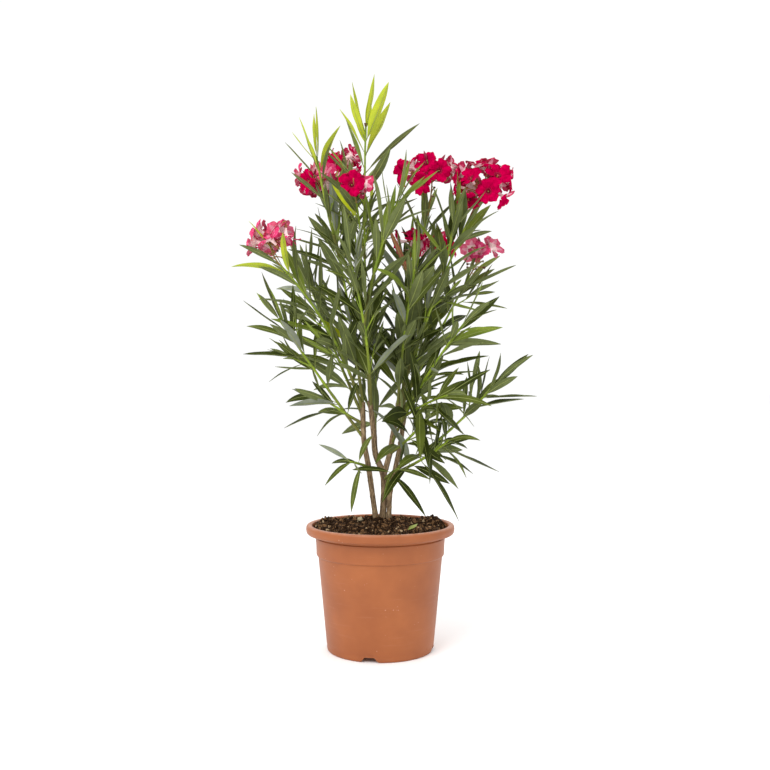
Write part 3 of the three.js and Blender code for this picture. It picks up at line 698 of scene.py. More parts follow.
def moulded_polypropylene():
    # Terracotta-coloured polypropylene, injection moulded: an even satin skin with pale mineral specks,
    # faint flow lines round it, a slight orange peel, and a rim crest that is paler in patches: partly
    # dust, partly a painted highlight where the top of the rim meets the light.
    tree, place = material("moulded_polypropylene")
    cloud = add(tree, "TexNoise", Vector=place, Scale=per_mm(70), Detail=3.0, Roughness=0.6)
    tone = add(tree, "ValToRGB", dict(stops=[(0.3, "#8f4f2a"), (0.7, "#9f5b31")]), cloud)
    flat = add(tree, "Mapping", Vector=place, Scale=(0.08, 0.08, 1.0))
    flow = add(tree, "TexNoise", Vector=flat, Scale=per_mm(4), Detail=2.0)
    lines = add(tree, "MapRange", Value=flow, From_Min=0.62, From_Max=0.8, To_Max=0.16)
    lined = add(tree, "MixRGB", None, lines, tone, linear("#b3775a"))
    grain = add(tree, "TexVoronoi", Vector=place, Scale=per_mm(7), Randomness=1.0)
    patch = add(tree, "TexNoise", Vector=place, Scale=per_mm(26), Detail=2.0)
    size = add(tree, "MapRange", Value=patch, From_Min=0.5, From_Max=0.7, To_Max=0.16)
    speck = add(tree, "Math", dict(operation="LESS_THAN"), grain, size)
    faint = add(tree, "Math", dict(operation="MULTIPLY"), speck, 0.45)
    specked = add(tree, "MixRGB", None, faint, lined, linear("#cfa188"))
    height = add(tree, "SeparateXYZ", Vector=place).outputs["Z"]
    # The top of the rim goes paler in patches: partly dust, partly a painted highlight where light falls on
    # it
    crest = add(tree, "MapRange", None, height, RIM_CREST * MM, POT_HEIGHT * MM, To_Max=0.9)
    crest_patches = add(tree, "TexNoise", Vector=place, Scale=per_mm(9), Detail=4.0)
    dust_and_highlight = add(tree, "Math", dict(operation="MULTIPLY"), crest, crest_patches)
    with_dust_and_highlight = add(tree, "MixRGB", None, dust_and_highlight, specked, linear("#c08a6f"))
    peel = add(tree, "TexNoise", Vector=place, Scale=per_mm(2.2), Detail=2.0)
    skinned(tree, with_dust_and_highlight, 0.46, 0.32, peel, 0.12, 0.2)


def crumbly(name, dark, middle, pale, grain):
    # Moist peat and composted bark: dark fibres with paler crumbs, and no gloss.
    tree, place = material(name)
    fine = add(tree, "TexNoise", Vector=place, Scale=per_mm(grain), Detail=6.0, Roughness=0.7)
    tone = add(tree, "ValToRGB", dict(stops=[(0.32, dark), (0.52, middle), (0.72, pale)]), fine)
    skinned(tree, tone, 0.95, 0.1, fine, 0.9, 1.2)


def young_bark():
    # The thin bark of young oleander wood: grey-brown, smooth to the hand, with fine long cracks and
    # small dark breathing pores.
    tree, place = material("young_bark")
    stretched = add(tree, "Mapping", Vector=place, Scale=(1.0, 1.0, 0.22))
    crack = add(tree, "TexNoise", Vector=stretched, Scale=per_mm(2.4), Detail=5.0, Roughness=0.65)
    browns = [(0.34, "#463726"), (0.5, "#7a644a"), (0.66, "#a08a6a")]
    tone = add(tree, "ValToRGB", dict(stops=browns), crack)
    pore = add(tree, "TexVoronoi", Vector=place, Scale=per_mm(5), Randomness=1.0)
    dot = add(tree, "MapRange", Value=pore, From_Min=0.16, From_Max=0.08, To_Max=0.7)
    dotted = add(tree, "MixRGB", None, dot, tone, linear("#40301f"))
    skinned(tree, dotted, 0.82, 0.25, crack, 0.5, 0.6)


def living(name, colour, shade, roughness, grain, relief, patch, gloss):
    # Living plant skin: one colour that drifts to its shade in patches, with a fine grain.
    tree, place = material(name)
    drift = add(tree, "TexNoise", Vector=place, Scale=per_mm(patch), Detail=5.0, Roughness=0.62)
    tone = add(tree, "ValToRGB", dict(stops=[(0.35, shade), (0.65, colour)]), drift)
    fine = add(tree, "TexNoise", Vector=place, Scale=per_mm(grain), Detail=2.0)
    skinned(tree, tone, roughness, gloss, fine, relief, 0.3)


def studio_paper():
    # Seamless paper: matt and nearly white, so that only a soft shadow shows.
    tree, _ = material("studio_paper")
    shader = add(tree, "BsdfPrincipled", Base_Color=linear("#fdfdfd"), Roughness=0.9)
    add(tree, "OutputMaterial", Surface=shader)


# The pot and its soil

def channel_roof(x, y):
    """How high the drain channels reach over a spot: full height over the middle of a channel, falling
    straight to nothing over its sloping sides."""
    roof = np.zeros_like(x)
    for number in range(CHANNELS):
        turn = CHANNEL_TURN + number * FULL_TURN / CHANNELS
        out, aside = swung(x, y, turn), np.abs(swung(y, -x, turn))
        slope = (CHANNEL_FOOT_WIDTH / 2 - aside) / ((CHANNEL_FOOT_WIDTH - CHANNEL_TOP_WIDTH) / 2)
        over = np.maximum(roof, np.clip(slope, 0, 1) * CHANNEL_HEIGHT)
        roof = np.where(out > CHANNEL_INNER_RADIUS, over, roof)
    return roof


def bend(centre, reach, start, end, steps):
    """An elliptical arc of (radius, height) points between two angles in degrees."""
    angle = np.radians(np.linspace(start, end, steps))
    return np.stack([centre[0] + reach[0] * np.cos(angle), centre[1] + reach[1] * np.sin(angle)], -1)


def make_pot():
    """The pot's outline, turned round its axis: under the floor, up the wall with its collar, over the
    rim and down inside. Every edge is a short arc. Near the foot each spot is lifted onto the roof of a
    drain channel."""
    underside = FOOT_RADIUS - FOOT_BEVEL
    wall = np.linspace(0.06, 1, 26)
    inside = [
        (RIM_INNER_RADIUS - 1, RIM_FOOT + 2), (COLLAR_RADIUS - POT_WALL, RIM_FOOT - 5),
        (SHOULDER_RADIUS - POT_WALL, COLLAR_FOOT), (FOOT_RADIUS - POT_WALL, POT_FLOOR), (0.4, POT_FLOOR),
    ]
    outline = np.vstack([
        # The underside and the foot's edge, with rings close together where the channels end
        [(radius, 0) for radius in (0.4, 20, 37, 38.5, 50, 62, 74, underside)],
        bend((underside, FOOT_BEVEL), (FOOT_BEVEL, FOOT_BEVEL), -75, 0, 6),
        [(FOOT_RADIUS + 0.3, height) for height in range(4, 10)],
        # The wall, the shoulder and the collar
        np.stack([lerp(FOOT_RADIUS, SHOULDER_RADIUS, wall), lerp(FOOT_BEVEL, COLLAR_FOOT - 3, wall)], -1),
        bend((SHOULDER_RADIUS + 1.4, COLLAR_FOOT - 1.6), (1.2, 1.6), 180, 90, 5),
        bend((COLLAR_RADIUS - COLLAR_TAPER - 0.8, COLLAR_FOOT + 2.4), (1.8, 2.4), -90, 0, 6),
        [(COLLAR_RADIUS - 1.7, 168), (COLLAR_RADIUS - 0.8, 179.2)],
        bend((COLLAR_RADIUS - 1.4, RIM_FOOT - 5.6), (0.8, 0.8), 0, 90, 4),
        # The groove under the rim
        bend((COLLAR_RADIUS - 1.2, RIM_FOOT - 3), (1.4, 1.6), 240, 120, 5),
        bend((COLLAR_RADIUS + 1.5, RIM_FOOT - 2.3), (1.8, 2), 150, 90, 4),
        # The rolled rim
        [(COLLAR_RADIUS + 5, RIM_FOOT - 0.2)],
        bend((RIM_RADIUS - 5.5, RIM_FOOT + 5.5), (5, 5.5), -86, -8, 8),
        [(RIM_RADIUS - 0.2, RIM_FOOT + 7), (RIM_RADIUS, RIM_FOOT + 8), (RIM_RADIUS - 0.2, RIM_FOOT + 9.5)],
        bend((RIM_RADIUS - 4.3, POT_HEIGHT - 4), (4, 4), 8, 88, 8),
        bend((RIM_INNER_RADIUS + 3, POT_HEIGHT - 2.6), (3, 2.6), 92, 176, 7),
        inside,
    ])
    shell = revolved(outline, POT_SIDES)
    outside = np.arange(len(outline))[:, None] < len(outline) - len(inside)
    lifted = np.maximum(shell[..., 2], channel_roof(shell[..., 0], shell[..., 1]))
    shell[..., 2] = np.where(outside, lifted, shell[..., 2])
    piece("nursery_pot", [closed(shell)], "moulded_polypropylene", ["pot"])


def soil_level(x, y):
    """The soil's height: flat mound, slope and edge by the distance from the axis, broken up by noise of
    three grains, and with bell-shaped heaps at both sides."""
    level = np.interp(np.hypot(x, y), [MOUND_RADIUS, SLOPE_RADIUS, SOIL_EDGE_RADIUS],
                      [GROUND - 2, SLOPE_HEIGHT, SOIL_EDGE_HEIGHT])
    for height, grain, seed in SOIL_NOISES:
        level = level + height * crumble(x, y, grain, seed)
    for height, x_middle, y_middle, x_reach, y_reach in SOIL_HEAPS:
        away = ((x - x_middle) / x_reach) ** 2 + ((y - y_middle) / y_reach) ** 2
        level = level + height * np.exp(-away)
    return level


def make_soil():
    """A disc of rings whose height is the soil level, with a skirt down inside the pot, and crumbs that
    lie half sunk in it."""
    ring = np.sqrt(np.linspace(0.00002, 1, SOIL_RINGS))[::-1] * SOIL_EDGE_RADIUS
    top = revolved(np.stack([ring, 0 * ring], -1), SOIL_SIDES)
    top[..., 2] = soil_level(top[..., 0], top[..., 1])
    wall = SHOULDER_RADIUS - POT_WALL - 1
    skirt = [(1, POT_FLOOR + 2), (wall - 6, POT_FLOOR + 60), (wall, 150), (SOIL_EDGE_RADIUS - 6, 186)]
    body = np.concatenate([revolved(skirt, SOIL_SIDES), top])
    piece("potting_mix", [closed(body)], "moist_peat", ["soil"])
    for seed, (name, count, sizes, finish) in enumerate(CRUMBS):
        piece(name, [closed(crumbs(count, sizes, seed))], finish)
    scrap = leaf_scrap()
    piece("leaf_scrap", [grids(scrap), grids(scrap - UP * 0.3, flip=True)], "leaf_midrib")
    lump = lumps(np.array([PALE_LUMP]), np.array([PALE_LUMP_SIZE]), 9)
    piece("pale_lump", [closed(lump)], "wood_pulp_lump")


def lumps(middle, size, seed):
    """Crumbs at given spots: each a ball of a few rings whose spots are pushed in and out at random, then
    stretched and turned."""
    rng = np.random.default_rng(40 + seed)
    count = len(middle)
    tilt = np.linspace(-0.47, 0.47, 5) * math.pi
    ball = revolved(np.stack([np.cos(tilt), np.sin(tilt)], -1), 7)
    shapes = ball[None] * rng.uniform(*LUMP_DENTS, (count, *ball.shape[:2], 1))
    shapes = shapes * rng.uniform(*LUMP_STRETCHES, (count, 1, 1, 3))
    facing = unit(rng.normal(size=(count, 3)) + UP * 0.2)
    return placed(shapes, dict(size=size, turn=turned_to(facing, rng.uniform(0, 6, count)), middle=middle))


def leaf_scrap():
    """A torn bit of leaf on the soil: a small oval sheet, (x, y) by a half width sin(pi u), with a curl."""
    u = np.linspace(0.02, 0.98, 9)[:, None]
    v = np.linspace(-1, 1, 5)[None]
    x = LEAF_SCRAP[0] + 13 * (u - 0.5) + 2 * v
    y = LEAF_SCRAP[1] + 4.5 * np.sin(math.pi * u) * v + 7 * u
    return np.stack([x, y, LEAF_SCRAP[2] + 2.6 * v + 1.6 * v**2 + 3 * u**2], -1)


def crumbs(count, sizes, seed):
    """Crumbs scattered evenly over the disc, most of them small, half sunk in the soil."""
    rng = np.random.default_rng(60 + seed)
    away = np.sqrt(rng.uniform(0.004, 0.985, count)) * (SOIL_EDGE_RADIUS - 1)
    around = rng.uniform(0, FULL_TURN, count)
    size = lerp(*sizes, rng.uniform(0, 1, count) ** CRUMB_RARITY)
    x, y = away * np.cos(around), away * np.sin(around)
    return lumps(np.stack([x, y, soil_level(x, y) + size * CRUMB_SINK], -1), size, seed)


# The limbs

def raise_limbs():
    """Every limb's run by name, the stems first and then the shoots in the table's order."""
    runs = {}
    for name, stem in STEMS.items():
        points = list(stem["points"])
        if "start" in stem:
            limb, share = stem["start"]
            points.insert(0, tuple(runs[limb].at(share)[0]))
        runs[name] = smooth_run(points)
    for row in SHOOTS:
        parent = runs[row["limb"]]
        start = parent.at(row["share"])[0]
        if row["share"] == 1:
            start = start + parent.along(1)[0] * GAP * 2
        tip = np.array(row["tip"], dtype=float)
        runs[row["name"]] = arc_run(start, (start + tip) / 2 + row["bow"], tip)
    return runs


def make_stems(runs):
    """Woody stems with relief: shallow lobes that wind down them, fine cracks, and a raised ring with
    three leaf scars at every node. The foot flares, evenly to nothing at the height of the flare."""
    for seed, (name, stem) in enumerate(STEMS.items()):
        run = runs[name]

        def relief(angle, height):
            node = np.abs((height + 9 * seed) % BARK_NODE_STEP - BARK_NODE_STEP / 2)
            scars = 0.6 + 0.4 * np.cos(3 * angle + seed + height // BARK_NODE_STEP)
            raised = BARK_SCAR * np.exp(-((node / BARK_SCAR_WIDTH) ** 2)) * scars
            raised = raised + BARK_CRACK * crumble(angle * 5, height / 4, 1.1, 10 + seed)
            for lobe, count, pitch, shifted in BARK_WAVES:
                raised = raised + lobe * np.sin(count * angle + height / pitch + shifted * seed)
            if "start" not in stem:
                thick = lerp(stem["foot"], stem["tip"], height / run.length)
                raised = raised + thick * (ROOT_FLARE - 1) * np.clip(1 - height / ROOT_FLARE_HEIGHT, 0, 1)
            return raised

        bark = tube(run, (stem["foot"], stem["tip"]), 30, 1.4, relief=relief)
        piece(name + "_bark", [bark], "young_bark", [name])


def make_shoots(runs, twigs):
    """The green shoots and their side twigs: round, tapering, with a slight knee at each whorl, in bands of
    skin from ripening at the foot to green."""
    for name, start, end, finish in SHOOT_BANDS:
        parts = []
        for seed, row in enumerate(SHOOTS):
            run = runs[row["name"]]

            def relief(angle, height):
                knee = np.abs((run.length - height) % SHOOT_KNEE_STEP - SHOOT_KNEE_STEP / 2)
                wave = 0.12 * np.sin(3 * angle + height / 9 + seed)
                return SHOOT_KNEE * np.exp(-((knee / SHOOT_KNEE_WIDTH) ** 2)) + wave

            parts.append(tube(run, (SHOOT_RADIUS, SHOOT_TIP_RADIUS), 10, 4, start, end, relief))
        if end == 1:
            parts.extend(tube(twig, (SIDE_TWIG_RADIUS, SIDE_TWIG_TIP_RADIUS), 6, 6) for twig in twigs)
        piece(name, parts, finish, solids("bough_") if end == 1 else ())


# The leaves

def grow_leaves(run, order, row, twig_depth=0):
    """The leaves of one shoot by the source's rule: whorls of three from the tip down, closer together and
    steeper towards it. Returns an array for each thing that a leaf is made from. twig_depth is how deep
    the shoot's leaves are taken to sit on a side twig."""
    look = LOOKS[LOOK_OF.get(row["name"], "plain")]
    depths = []
    left = FIRST_WHORL
    while left < run.length * (1 - row["bare"]) - LEAF_STAGGER:
        depths.append(left)
        left += WHORL_STEP * lerp(WHORL_TIP_STEP, 1, min(1, left / OLD_DEPTH))
    depth = np.repeat(np.array(depths), LEAVES_IN_WHORL)
    number = np.repeat(np.arange(len(depths)), LEAVES_IN_WHORL)
    place = np.tile(np.arange(LEAVES_IN_WHORL), len(depths))

    def play(salt, size):
        """A random amount from minus to plus half a size."""
        return (chance(order, number, place, 0, salt) - 0.5) * size

    age = np.minimum(1, depth / min(OLD_DEPTH, run.length * OLD_SHARE))
    tint = tints_of(look, depth + twig_depth, chance(order, number, place, 0, 10))
    broad = np.where(tint == YOUNG, *look["breadth"]) * lerp(
        TIP_WIDTH_SHARE, 1, np.minimum(1, depth / BROAD_DEPTH))
    length = row["leaf"] * lerp(TIP_LEAF_SHARE, 1, age) * (1 + play(1, LEAF_PLAY))
    turn = order + number * (math.pi / 3) + place * (FULL_TURN / LEAVES_IN_WHORL) + play(2, TURN_PLAY)
    stand = lerp(TIP_SPREAD, row["spread"], age**AGE_CURVE) + play(3, SPREAD_PLAY)
    share = 1 - depth / run.length
    along = run.along(share)
    side, out = cross_frame(along)
    away = swung(side, out, turn[:, None])
    heading = swung(along, away, stand[:, None])
    return dict(
        root=run.at(share + (place - 1) * LEAF_STAGGER / run.length) + away * LEAF_ROOT,
        heading=heading,
        upper=unit(along - heading * np.sum(along * heading, -1, keepdims=True)),
        length=length,
        width=length * LEAF_WIDTH * broad * (1 + play(4, LEAF_PLAY)),
        sag=length * row["droop"] * (1 + play(5, DROOP_PLAY)) * np.hypot(heading[:, 0], heading[:, 1]),
        arch=play(11, 2 * LEAF_ARCH) * length,
        roll=play(6, LEAF_ROLL),
        twist=play(7, LEAF_TWIST),
        fold=LEAF_FOLD + play(8, LEAF_FOLD_PLAY),
        wave=play(9, FULL_TURN),
        tint=tint,
        kept=(chance(order, number, place, 20) > LOST_LEAVES) | (depth < LOST_DEPTH),
    )


def tints_of(look, depth, luck):
    """Which green each leaf has, by how deep under the tip it sits and by luck. A leaf is young or fresh
    down to that look's depth, less its luck."""
    tint = np.where(luck < look["grown"], GROWN, OLD)
    for kind, (reach, play) in ((FRESH, look["fresh"]), (YOUNG, look["young"])):
        tint = np.where(depth + play * luck < reach, kind, tint)
    # By luck a few leaves take the grey tint of painted glare, a painted reflection
    return np.where((luck * 97) % 1 < look["painted_glare"], PAINTED_GLARE, tint)


def side_twigs(run, order, row):
    """Short twigs in the axils of the older whorls: each leaves the shoot at an angle between two leaves
    and turns up again."""
    twigs = []
    depths = np.arange(SIDE_TWIG_DEPTH, run.length * (1 - row["bare"]) - 10, WHORL_STEP)
    for number, depth in enumerate(depths):
        if chance(order, number, 50)[0] > SIDE_TWIG_CHANCE:
            continue
        share = 1 - depth / run.length
        along = run.along(share)
        side, out = cross_frame(along)
        away = swung(side, out, order + SIDE_TWIG_TURN * number + 1)
        length = lerp(*SIDE_TWIG_LENGTHS, chance(order, number, 51)[0])
        start = run.at(share)[0]
        reach = swung(along, away, SIDE_TWIG_ANGLE)[0] * length
        twigs.append(arc_run(start, start + reach * 0.5, start + reach + UP * length * SIDE_TWIG_LIFT))
    return twigs


def gathered(groups):
    """Tables of arrays joined into one, key by key."""
    return {key: np.concatenate([group[key] for group in groups]) for key in groups[0]}


def chosen(rows, keep):
    """The rows of a table of arrays that a mask keeps."""
    return {key: values[keep] for key, values in rows.items()}


def clear_of_neighbours(leaves, blooms, runs):
    """Which leaves stay: those whose blade passes no flower, stays out of the pot and its soil, and
    doesn't run through a woody stem."""
    spots = centre_line(leaves, np.array([0.3, 0.45, 0.6, 0.75, 0.9, 1.0]))
    wood = np.concatenate([runs[name].at(np.linspace(0, 1, 60)) for name in STEMS])
    to_flower, to_wood = (np.linalg.norm(spots[:, :, None] - others[None, None], axis=-1).min((1, 2))
                          for others in (blooms["middle"], wood))
    low = (spots[..., 2] < POT_HEIGHT + SOIL_CLEARANCE) & (
        np.hypot(spots[..., 0], spots[..., 1]) < RIM_RADIUS + RIM_CLEARANCE)
    return (to_flower > FLOWER_CLEARANCE) & ~low.any(1) & (to_wood > WOOD_CLEARANCE)


def centre_line(leaves, share):
    """A leaf's centre line: root + heading t L + upper arch 4t(1-t) - up sag t^2."""
    t = share[None, :, None]
    length, arch, sag = (leaves[key][:, None, None] for key in ("length", "arch", "sag"))
    return (leaves["root"][:, None] + leaves["heading"][:, None] * length * t
            + leaves["upper"][:, None] * arch * 4 * t * (1 - t) - UP * sag * t**2)


def leaf_surface(leaves, share, half, v, rise):
    """Points off a leaf's centre line: v times the half width across, and a rise above. The directions
    across and above start square to the line, and roll and twist about it."""
    centre = centre_line(leaves, share)
    tangent = unit(np.gradient(centre, axis=1))
    upper = leaves["upper"][:, None]
    upper = unit(upper - tangent * np.sum(upper * tangent, -1, keepdims=True))
    across = np.cross(upper, tangent)
    angle = (leaves["roll"][:, None] + leaves["twist"][:, None] * share[None])[..., None]
    sideways, above = swung(across, upper, angle), swung(upper, -across, angle)
    aside = sideways[:, :, None] * (half * v)[..., None]
    return centre[:, :, None] + aside + above[:, :, None] * rise[..., None]


def blade_sheet(leaves, face):
    """A blade's upper face at +1 or its lower at -1. The half width is lanceolate, (t/m)^b times
    ((1-t)/(1-m))^(b(1-m)/m), which is widest at m and blunter as b falls. The halves fold up from the
    midrib, and the edge waves a little."""
    share = np.linspace(PETIOLE_SHARE, 1, LEAF_ROWS)
    t = np.clip((share - PETIOLE_SHARE) / (1 - PETIOLE_SHARE), 0.008, 0.992)
    tip_power = LEAF_BLUNTNESS * (1 - LEAF_WIDEST) / LEAF_WIDEST
    outline = (t / LEAF_WIDEST) ** LEAF_BLUNTNESS * ((1 - t) / (1 - LEAF_WIDEST)) ** tip_power
    half = (leaves["width"][:, None] * LEAF_SLIM * 0.5 * outline[None])[..., None]
    v = np.linspace(-1, 1, LEAF_COLUMNS)[None, None]
    wave = LEAF_WAVE * np.sin(9 * t[None, :, None] + leaves["wave"][:, None, None] + 2 * v)
    rise = half * (np.abs(v) * leaves["fold"][:, None, None] + v**2 * wave)
    return leaf_surface(leaves, share, half, v, rise + face * LEAF_THICKNESS / 2 * (1 - v**2))


def midrib_sheet(leaves, face):
    """The midrib with the petiole: a low ridge along the centre line that narrows evenly to the tip."""
    share = np.linspace(0, MIDRIB_END, LEAF_ROWS)
    length = leaves["length"][:, None] / MIDRIB_LEAF
    half = (lerp(MIDRIB_WIDTH, MIDRIB_TIP_WIDTH, share) * length * 0.5)[..., None]
    v = np.array([-1.0, 0.0, 1.0])[None, None]
    rise = face * (LEAF_THICKNESS / 2 + 0.02) + face * half * 0.7 * (1 - v**2) + half * np.abs(v) * 0.2
    return leaf_surface(leaves, share, half, v, rise)


def solids(start):
    """The names of the solids that start with the same letters."""
    return [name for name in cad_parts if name.startswith(start)]


def make_leaves(leaves):
    """Leaves dealt out by their tint: a piece of upper faces for each, and of backs for young and mature,
    but leaves painted with glare and withered leaves are the same on both. The one nearest to a spot
    has withered."""
    middles = centre_line(leaves, np.array([0.5]))[:, 0]
    leaves["tint"][np.argmin(np.linalg.norm(middles - WITHERED_SPOT, axis=1))] = WITHERED
    for number, name in enumerate(TINTS):
        kept = chosen(leaves, leaves["tint"] == number)
        sheets = [grids(blade_sheet(kept, 1))]
        if number >= PAINTED_GLARE:
            sheets.append(grids(blade_sheet(kept, -1), flip=True))
        replaced = solids("foliage_") if number == GROWN else ()
        piece("leaves_" + name, sheets, name + "_leaf_face", replaced)
    mature = (leaves["tint"] > YOUNG) & (leaves["tint"] < PAINTED_GLARE)
    for name, which in (("young", leaves["tint"] == YOUNG), ("mature", mature)):
        backs = grids(blade_sheet(chosen(leaves, which), -1), flip=True)
        piece("leaf_backs_" + name, [backs], name + "_leaf_back")
    ribs = [grids(midrib_sheet(leaves, face), flip=face < 0) for face in (1, -1)]
    piece("midribs", ribs, "leaf_midrib")


# The flowers

def plan_blooms(runs):
    """Every truss by the source's rule: a stalk from the shoot's tip to the truss's heart, and flowers
    spread over a dome by the golden angle, each facing outwards."""
    stalks, groups = {}, []
    for order, row in enumerate(row for row in SHOOTS if row["truss"]):
        name = row["name"]
        centre, spread, flowers = row["truss"]
        tip, along, heart = runs[name].at(1)[0], runs[name].along(1)[0], np.array(centre, dtype=float)
        handle = tip + along * np.linalg.norm(heart - tip) * 0.5
        stalk = arc_run(tip + along * GAP, handle, heart)
        stalks[name] = stalk
        outward = np.array([0.0, np.sign(heart[1]) * TRUSS_LEAN, 0.0])
        axis = unit(unit(heart - tip) + UP + outward)
        number = np.arange(flowers)
        share = (number + 0.5) / flowers
        height = 1 - TRUSS_DOME * share
        dome = spun(np.sqrt(1 - height**2), 0, height, number * GOLDEN_ANGLE + order)
        facing = dome @ turned_to(axis[None], np.zeros(1))[0].T
        nod = np.stack([chance(order, number, salt) - 0.5 for salt in (5, 6, 7)], -1) * FLOWER_NOD
        groups.append(dict(
            middle=heart + facing * np.array(spread),
            facing=unit(facing + nod + TRUSS_TURNS.get(name, (0.0, 0.0, 0.0))),
            spin=chance(order, number) * math.pi,
            foot=stalk.at(1 - TRUSS_BRANCHING * share),
            size=lerp(*FLOWER_SIZES, chance(order, number, 1)),
            phase=chance(order, number, 2) * FULL_TURN,
            open=lerp(*FLOWER_OPENINGS, chance(order, number, 3)),
            pink=chance(order, number, 4) < PINK_SHARES.get(name, 0.0),
            truss=np.full(flowers, order),
        ))
    blooms = gathered(groups)
    blooms["turn"] = turned_to(blooms["facing"], blooms["spin"])
    return stalks, blooms


def petal_sheet(blooms, face):
    """The petals' upper faces at +1 or their backs at -1: s runs along the reach and v across. They stand
    on the throat's edge and reach straight out. The half width grows from the claw as a quarter sine and
    closes as a round lobe with a ragged edge. From the side they rise out of the throat as (1-s)^2.4, curl
    at the tip as s^3, lap like a pinwheel and ruffle along the edge. The middle columns draw together
    along the petal, so that the faces between them make a streak."""
    count, rows = len(blooms["size"]), len(PETAL_ROWS)
    s = np.array(PETAL_ROWS)[None, None, :, None]
    streak = np.interp(PETAL_ROWS, *PETAL_STREAK)
    edge, halfway = np.ones(rows), (1 + streak) / 2
    v = np.stack([-edge, -halfway, -streak, 0 * edge, streak, halfway, edge], -1)[None, None]
    petal = np.arange(PETALS)[None, :, None, None]
    phase = blooms["phase"][:, None, None, None] + petal * 2.1
    half = lerp(CLAW_WIDTH, PETAL_WIDTH, np.sin(np.minimum(1, s / PETAL_FULL) * math.pi / 2)) / 2
    half = half * np.sqrt(1 - np.clip((s - LOBE_START) / LOBE_LENGTH, 0, 1) ** LOBE_ROUNDNESS)
    ragged = TIP_RAGGEDNESS * s**3 * np.sin(0.62 * v * half + phase * 2)
    grown = 1 + PETAL_LENGTH_PLAY * np.sin(phase * 3) + ragged
    reach = THROAT_RADIUS + (FLOWER_RADIUS - THROAT_RADIUS) * s * grown
    broad = 1 + PETAL_WIDTH_PLAY * np.sin(phase) + SIDE_RAGGEDNESS * np.sin(16 * s + phase)
    aside = v * half * broad + PETAL_SKEW * s**2
    inward = np.sqrt(reach**2 - aside**2 * np.clip(1 - s / CLAW_SHARE, 0, 1))
    curl = lerp(*PETAL_CURLS, 0.5 + 0.5 * np.sin(phase * 5))
    lap = v * half / PETAL_WIDTH * PETAL_LAP * np.minimum(1, s / CLAW_SHARE)
    cup = PETAL_CUP * v**2 * s * blooms["open"][:, None, None, None]
    ruffle = PETAL_RUFFLE * s**2 * np.sin(3.5 * v + phase)
    thick = face * PETAL_THICKNESS / 2 * (1 - v**2) * (1 - s**6)
    height = curl * s**3 + lap - cup + ruffle + thick - THROAT_DEPTH * (1 - s) ** DISH_CURVE
    local = spun(inward, aside, height, petal * (FULL_TURN / PETALS))
    spots = placed(local.reshape(count, PETALS * rows, PETAL_COLUMNS + 1, 3), blooms)
    return spots.reshape(count * PETALS, rows, PETAL_COLUMNS + 1, 3)


def petal_zones(claw, streak):
    """The zone of each face of a petal, by row and column: CLAW up to one row, STREAK in the middle up to
    another, and BLADE for the rest."""
    zones = np.full((len(PETAL_ROWS) - 1, PETAL_COLUMNS), BLADE)
    zones[:claw] = CLAW
    middle = PETAL_COLUMNS // 2
    zones[claw:streak, middle - 1:middle + 1] = STREAK
    return zones


def make_petals(red, pink):
    """Petals dealt out by colour and zone: crimson or pink faces, and backs that are pale at the foot with
    a pale streak. The table says which sheets are seen from under."""
    front, back = petal_zones(1, 4), petal_zones(2, 5)
    faces, pink_faces = petal_sheet(red, 1), petal_sheet(pink, 1)
    backs, pink_backs = petal_sheet(red, -1), petal_sheet(pink, -1)
    all_backs = np.concatenate([backs, pink_backs])
    for name, sheet, under, kept, finish in (
        ("petals_crimson", faces, False, front != CLAW, "crimson_petal"),
        ("petal_claws", faces, False, front == CLAW, "deep_throat"),
        ("petals_pink", pink_faces, False, front == BLADE, "pink_petal"),
        ("petal_streaks", pink_faces, False, front == STREAK, "streaked_petal"),
        ("petal_claws_pale", pink_faces, False, front == CLAW, "blush_petal"),
        ("petal_backs", backs, True, back == BLADE, "rose_petal_back"),
        ("petal_backs_pink", pink_backs, True, back == BLADE, "pink_petal_back"),
        ("petal_back_streaks", all_backs, True, back == STREAK, "blush_petal"),
        ("petal_back_bases", all_backs, True, back == CLAW, "pale_throat"),
    ):
        replaced = solids("truss_") if name == "petals_crimson" else ()
        piece(name, [grids(sheet, flip=under, keep=kept)], finish, replaced)


def make_flowers(runs, stalks, blooms):
    """Each part of the flowers is one piece: petals, the funnel with the calyx under it, the fringe and
    the anthers in the throat, the stalks, and buds and dried calyces among them."""
    pink, red = chosen(blooms, blooms["pink"]), chosen(blooms, ~blooms["pink"])
    make_petals(red, pink)
    for name, kind, outline, sides, flip, caps, finish in (
        ("funnels", blooms, FUNNEL, 15, False, False, "pale_throat"),
        ("funnel_linings", red, LINING, 15, True, False, "deep_throat"),
        ("funnel_linings_pale", pink, LINING, 15, True, False, "blush_petal"),
        ("anther_cones", blooms, ANTHERS, 7, True, True, "anther_cone"),
        ("calyces", blooms, CALYX, 10, True, True, "calyx_skin"),
    ):
        shell = grids(placed(revolved(outline, sides), kind), wrap=True, flip=flip, caps=caps)
        piece(name, [shell], finish)
    for name, kind, finish in (("throat_fringe", red, "rose_petal_back"),
                               ("throat_fringe_pale", pink, "blush_petal")):
        teeth = fringe(kind)
        piece(name, [grids(teeth), grids(teeth, flip=True)], finish)
    parts = [tube(stalk, (PEDUNCLE_RADIUS, PEDUNCLE_TIP_RADIUS), 9, 4) for stalk in stalks.values()]
    for middle, facing, foot, size in zip(*(blooms[key] for key in ("middle", "facing", "foot", "size"))):
        parts.append(pedicel(middle + facing * (TUBE_FOOT - 1) * size, facing, foot))
    buds, dried = make_buds(runs, stalks, blooms, parts)
    for name, made, finish in (("flower_stalks", parts, "flower_stalk_skin"),
                               ("flower_buds", [buds], "furled_bud"),
                               ("dried_calyces", [dried], "dried_calyx")):
        piece(name, made, finish)


def pedicel(top, facing, foot):
    """A flower's own thin stalk: it leaves the calyx backwards and bends to its foot on the truss."""
    handle = top - facing * np.linalg.norm(top - foot) * 0.45
    return tube(arc_run(foot, handle, top), (PEDICEL_RADIUS * 1.1, PEDICEL_RADIUS), 6, 2)


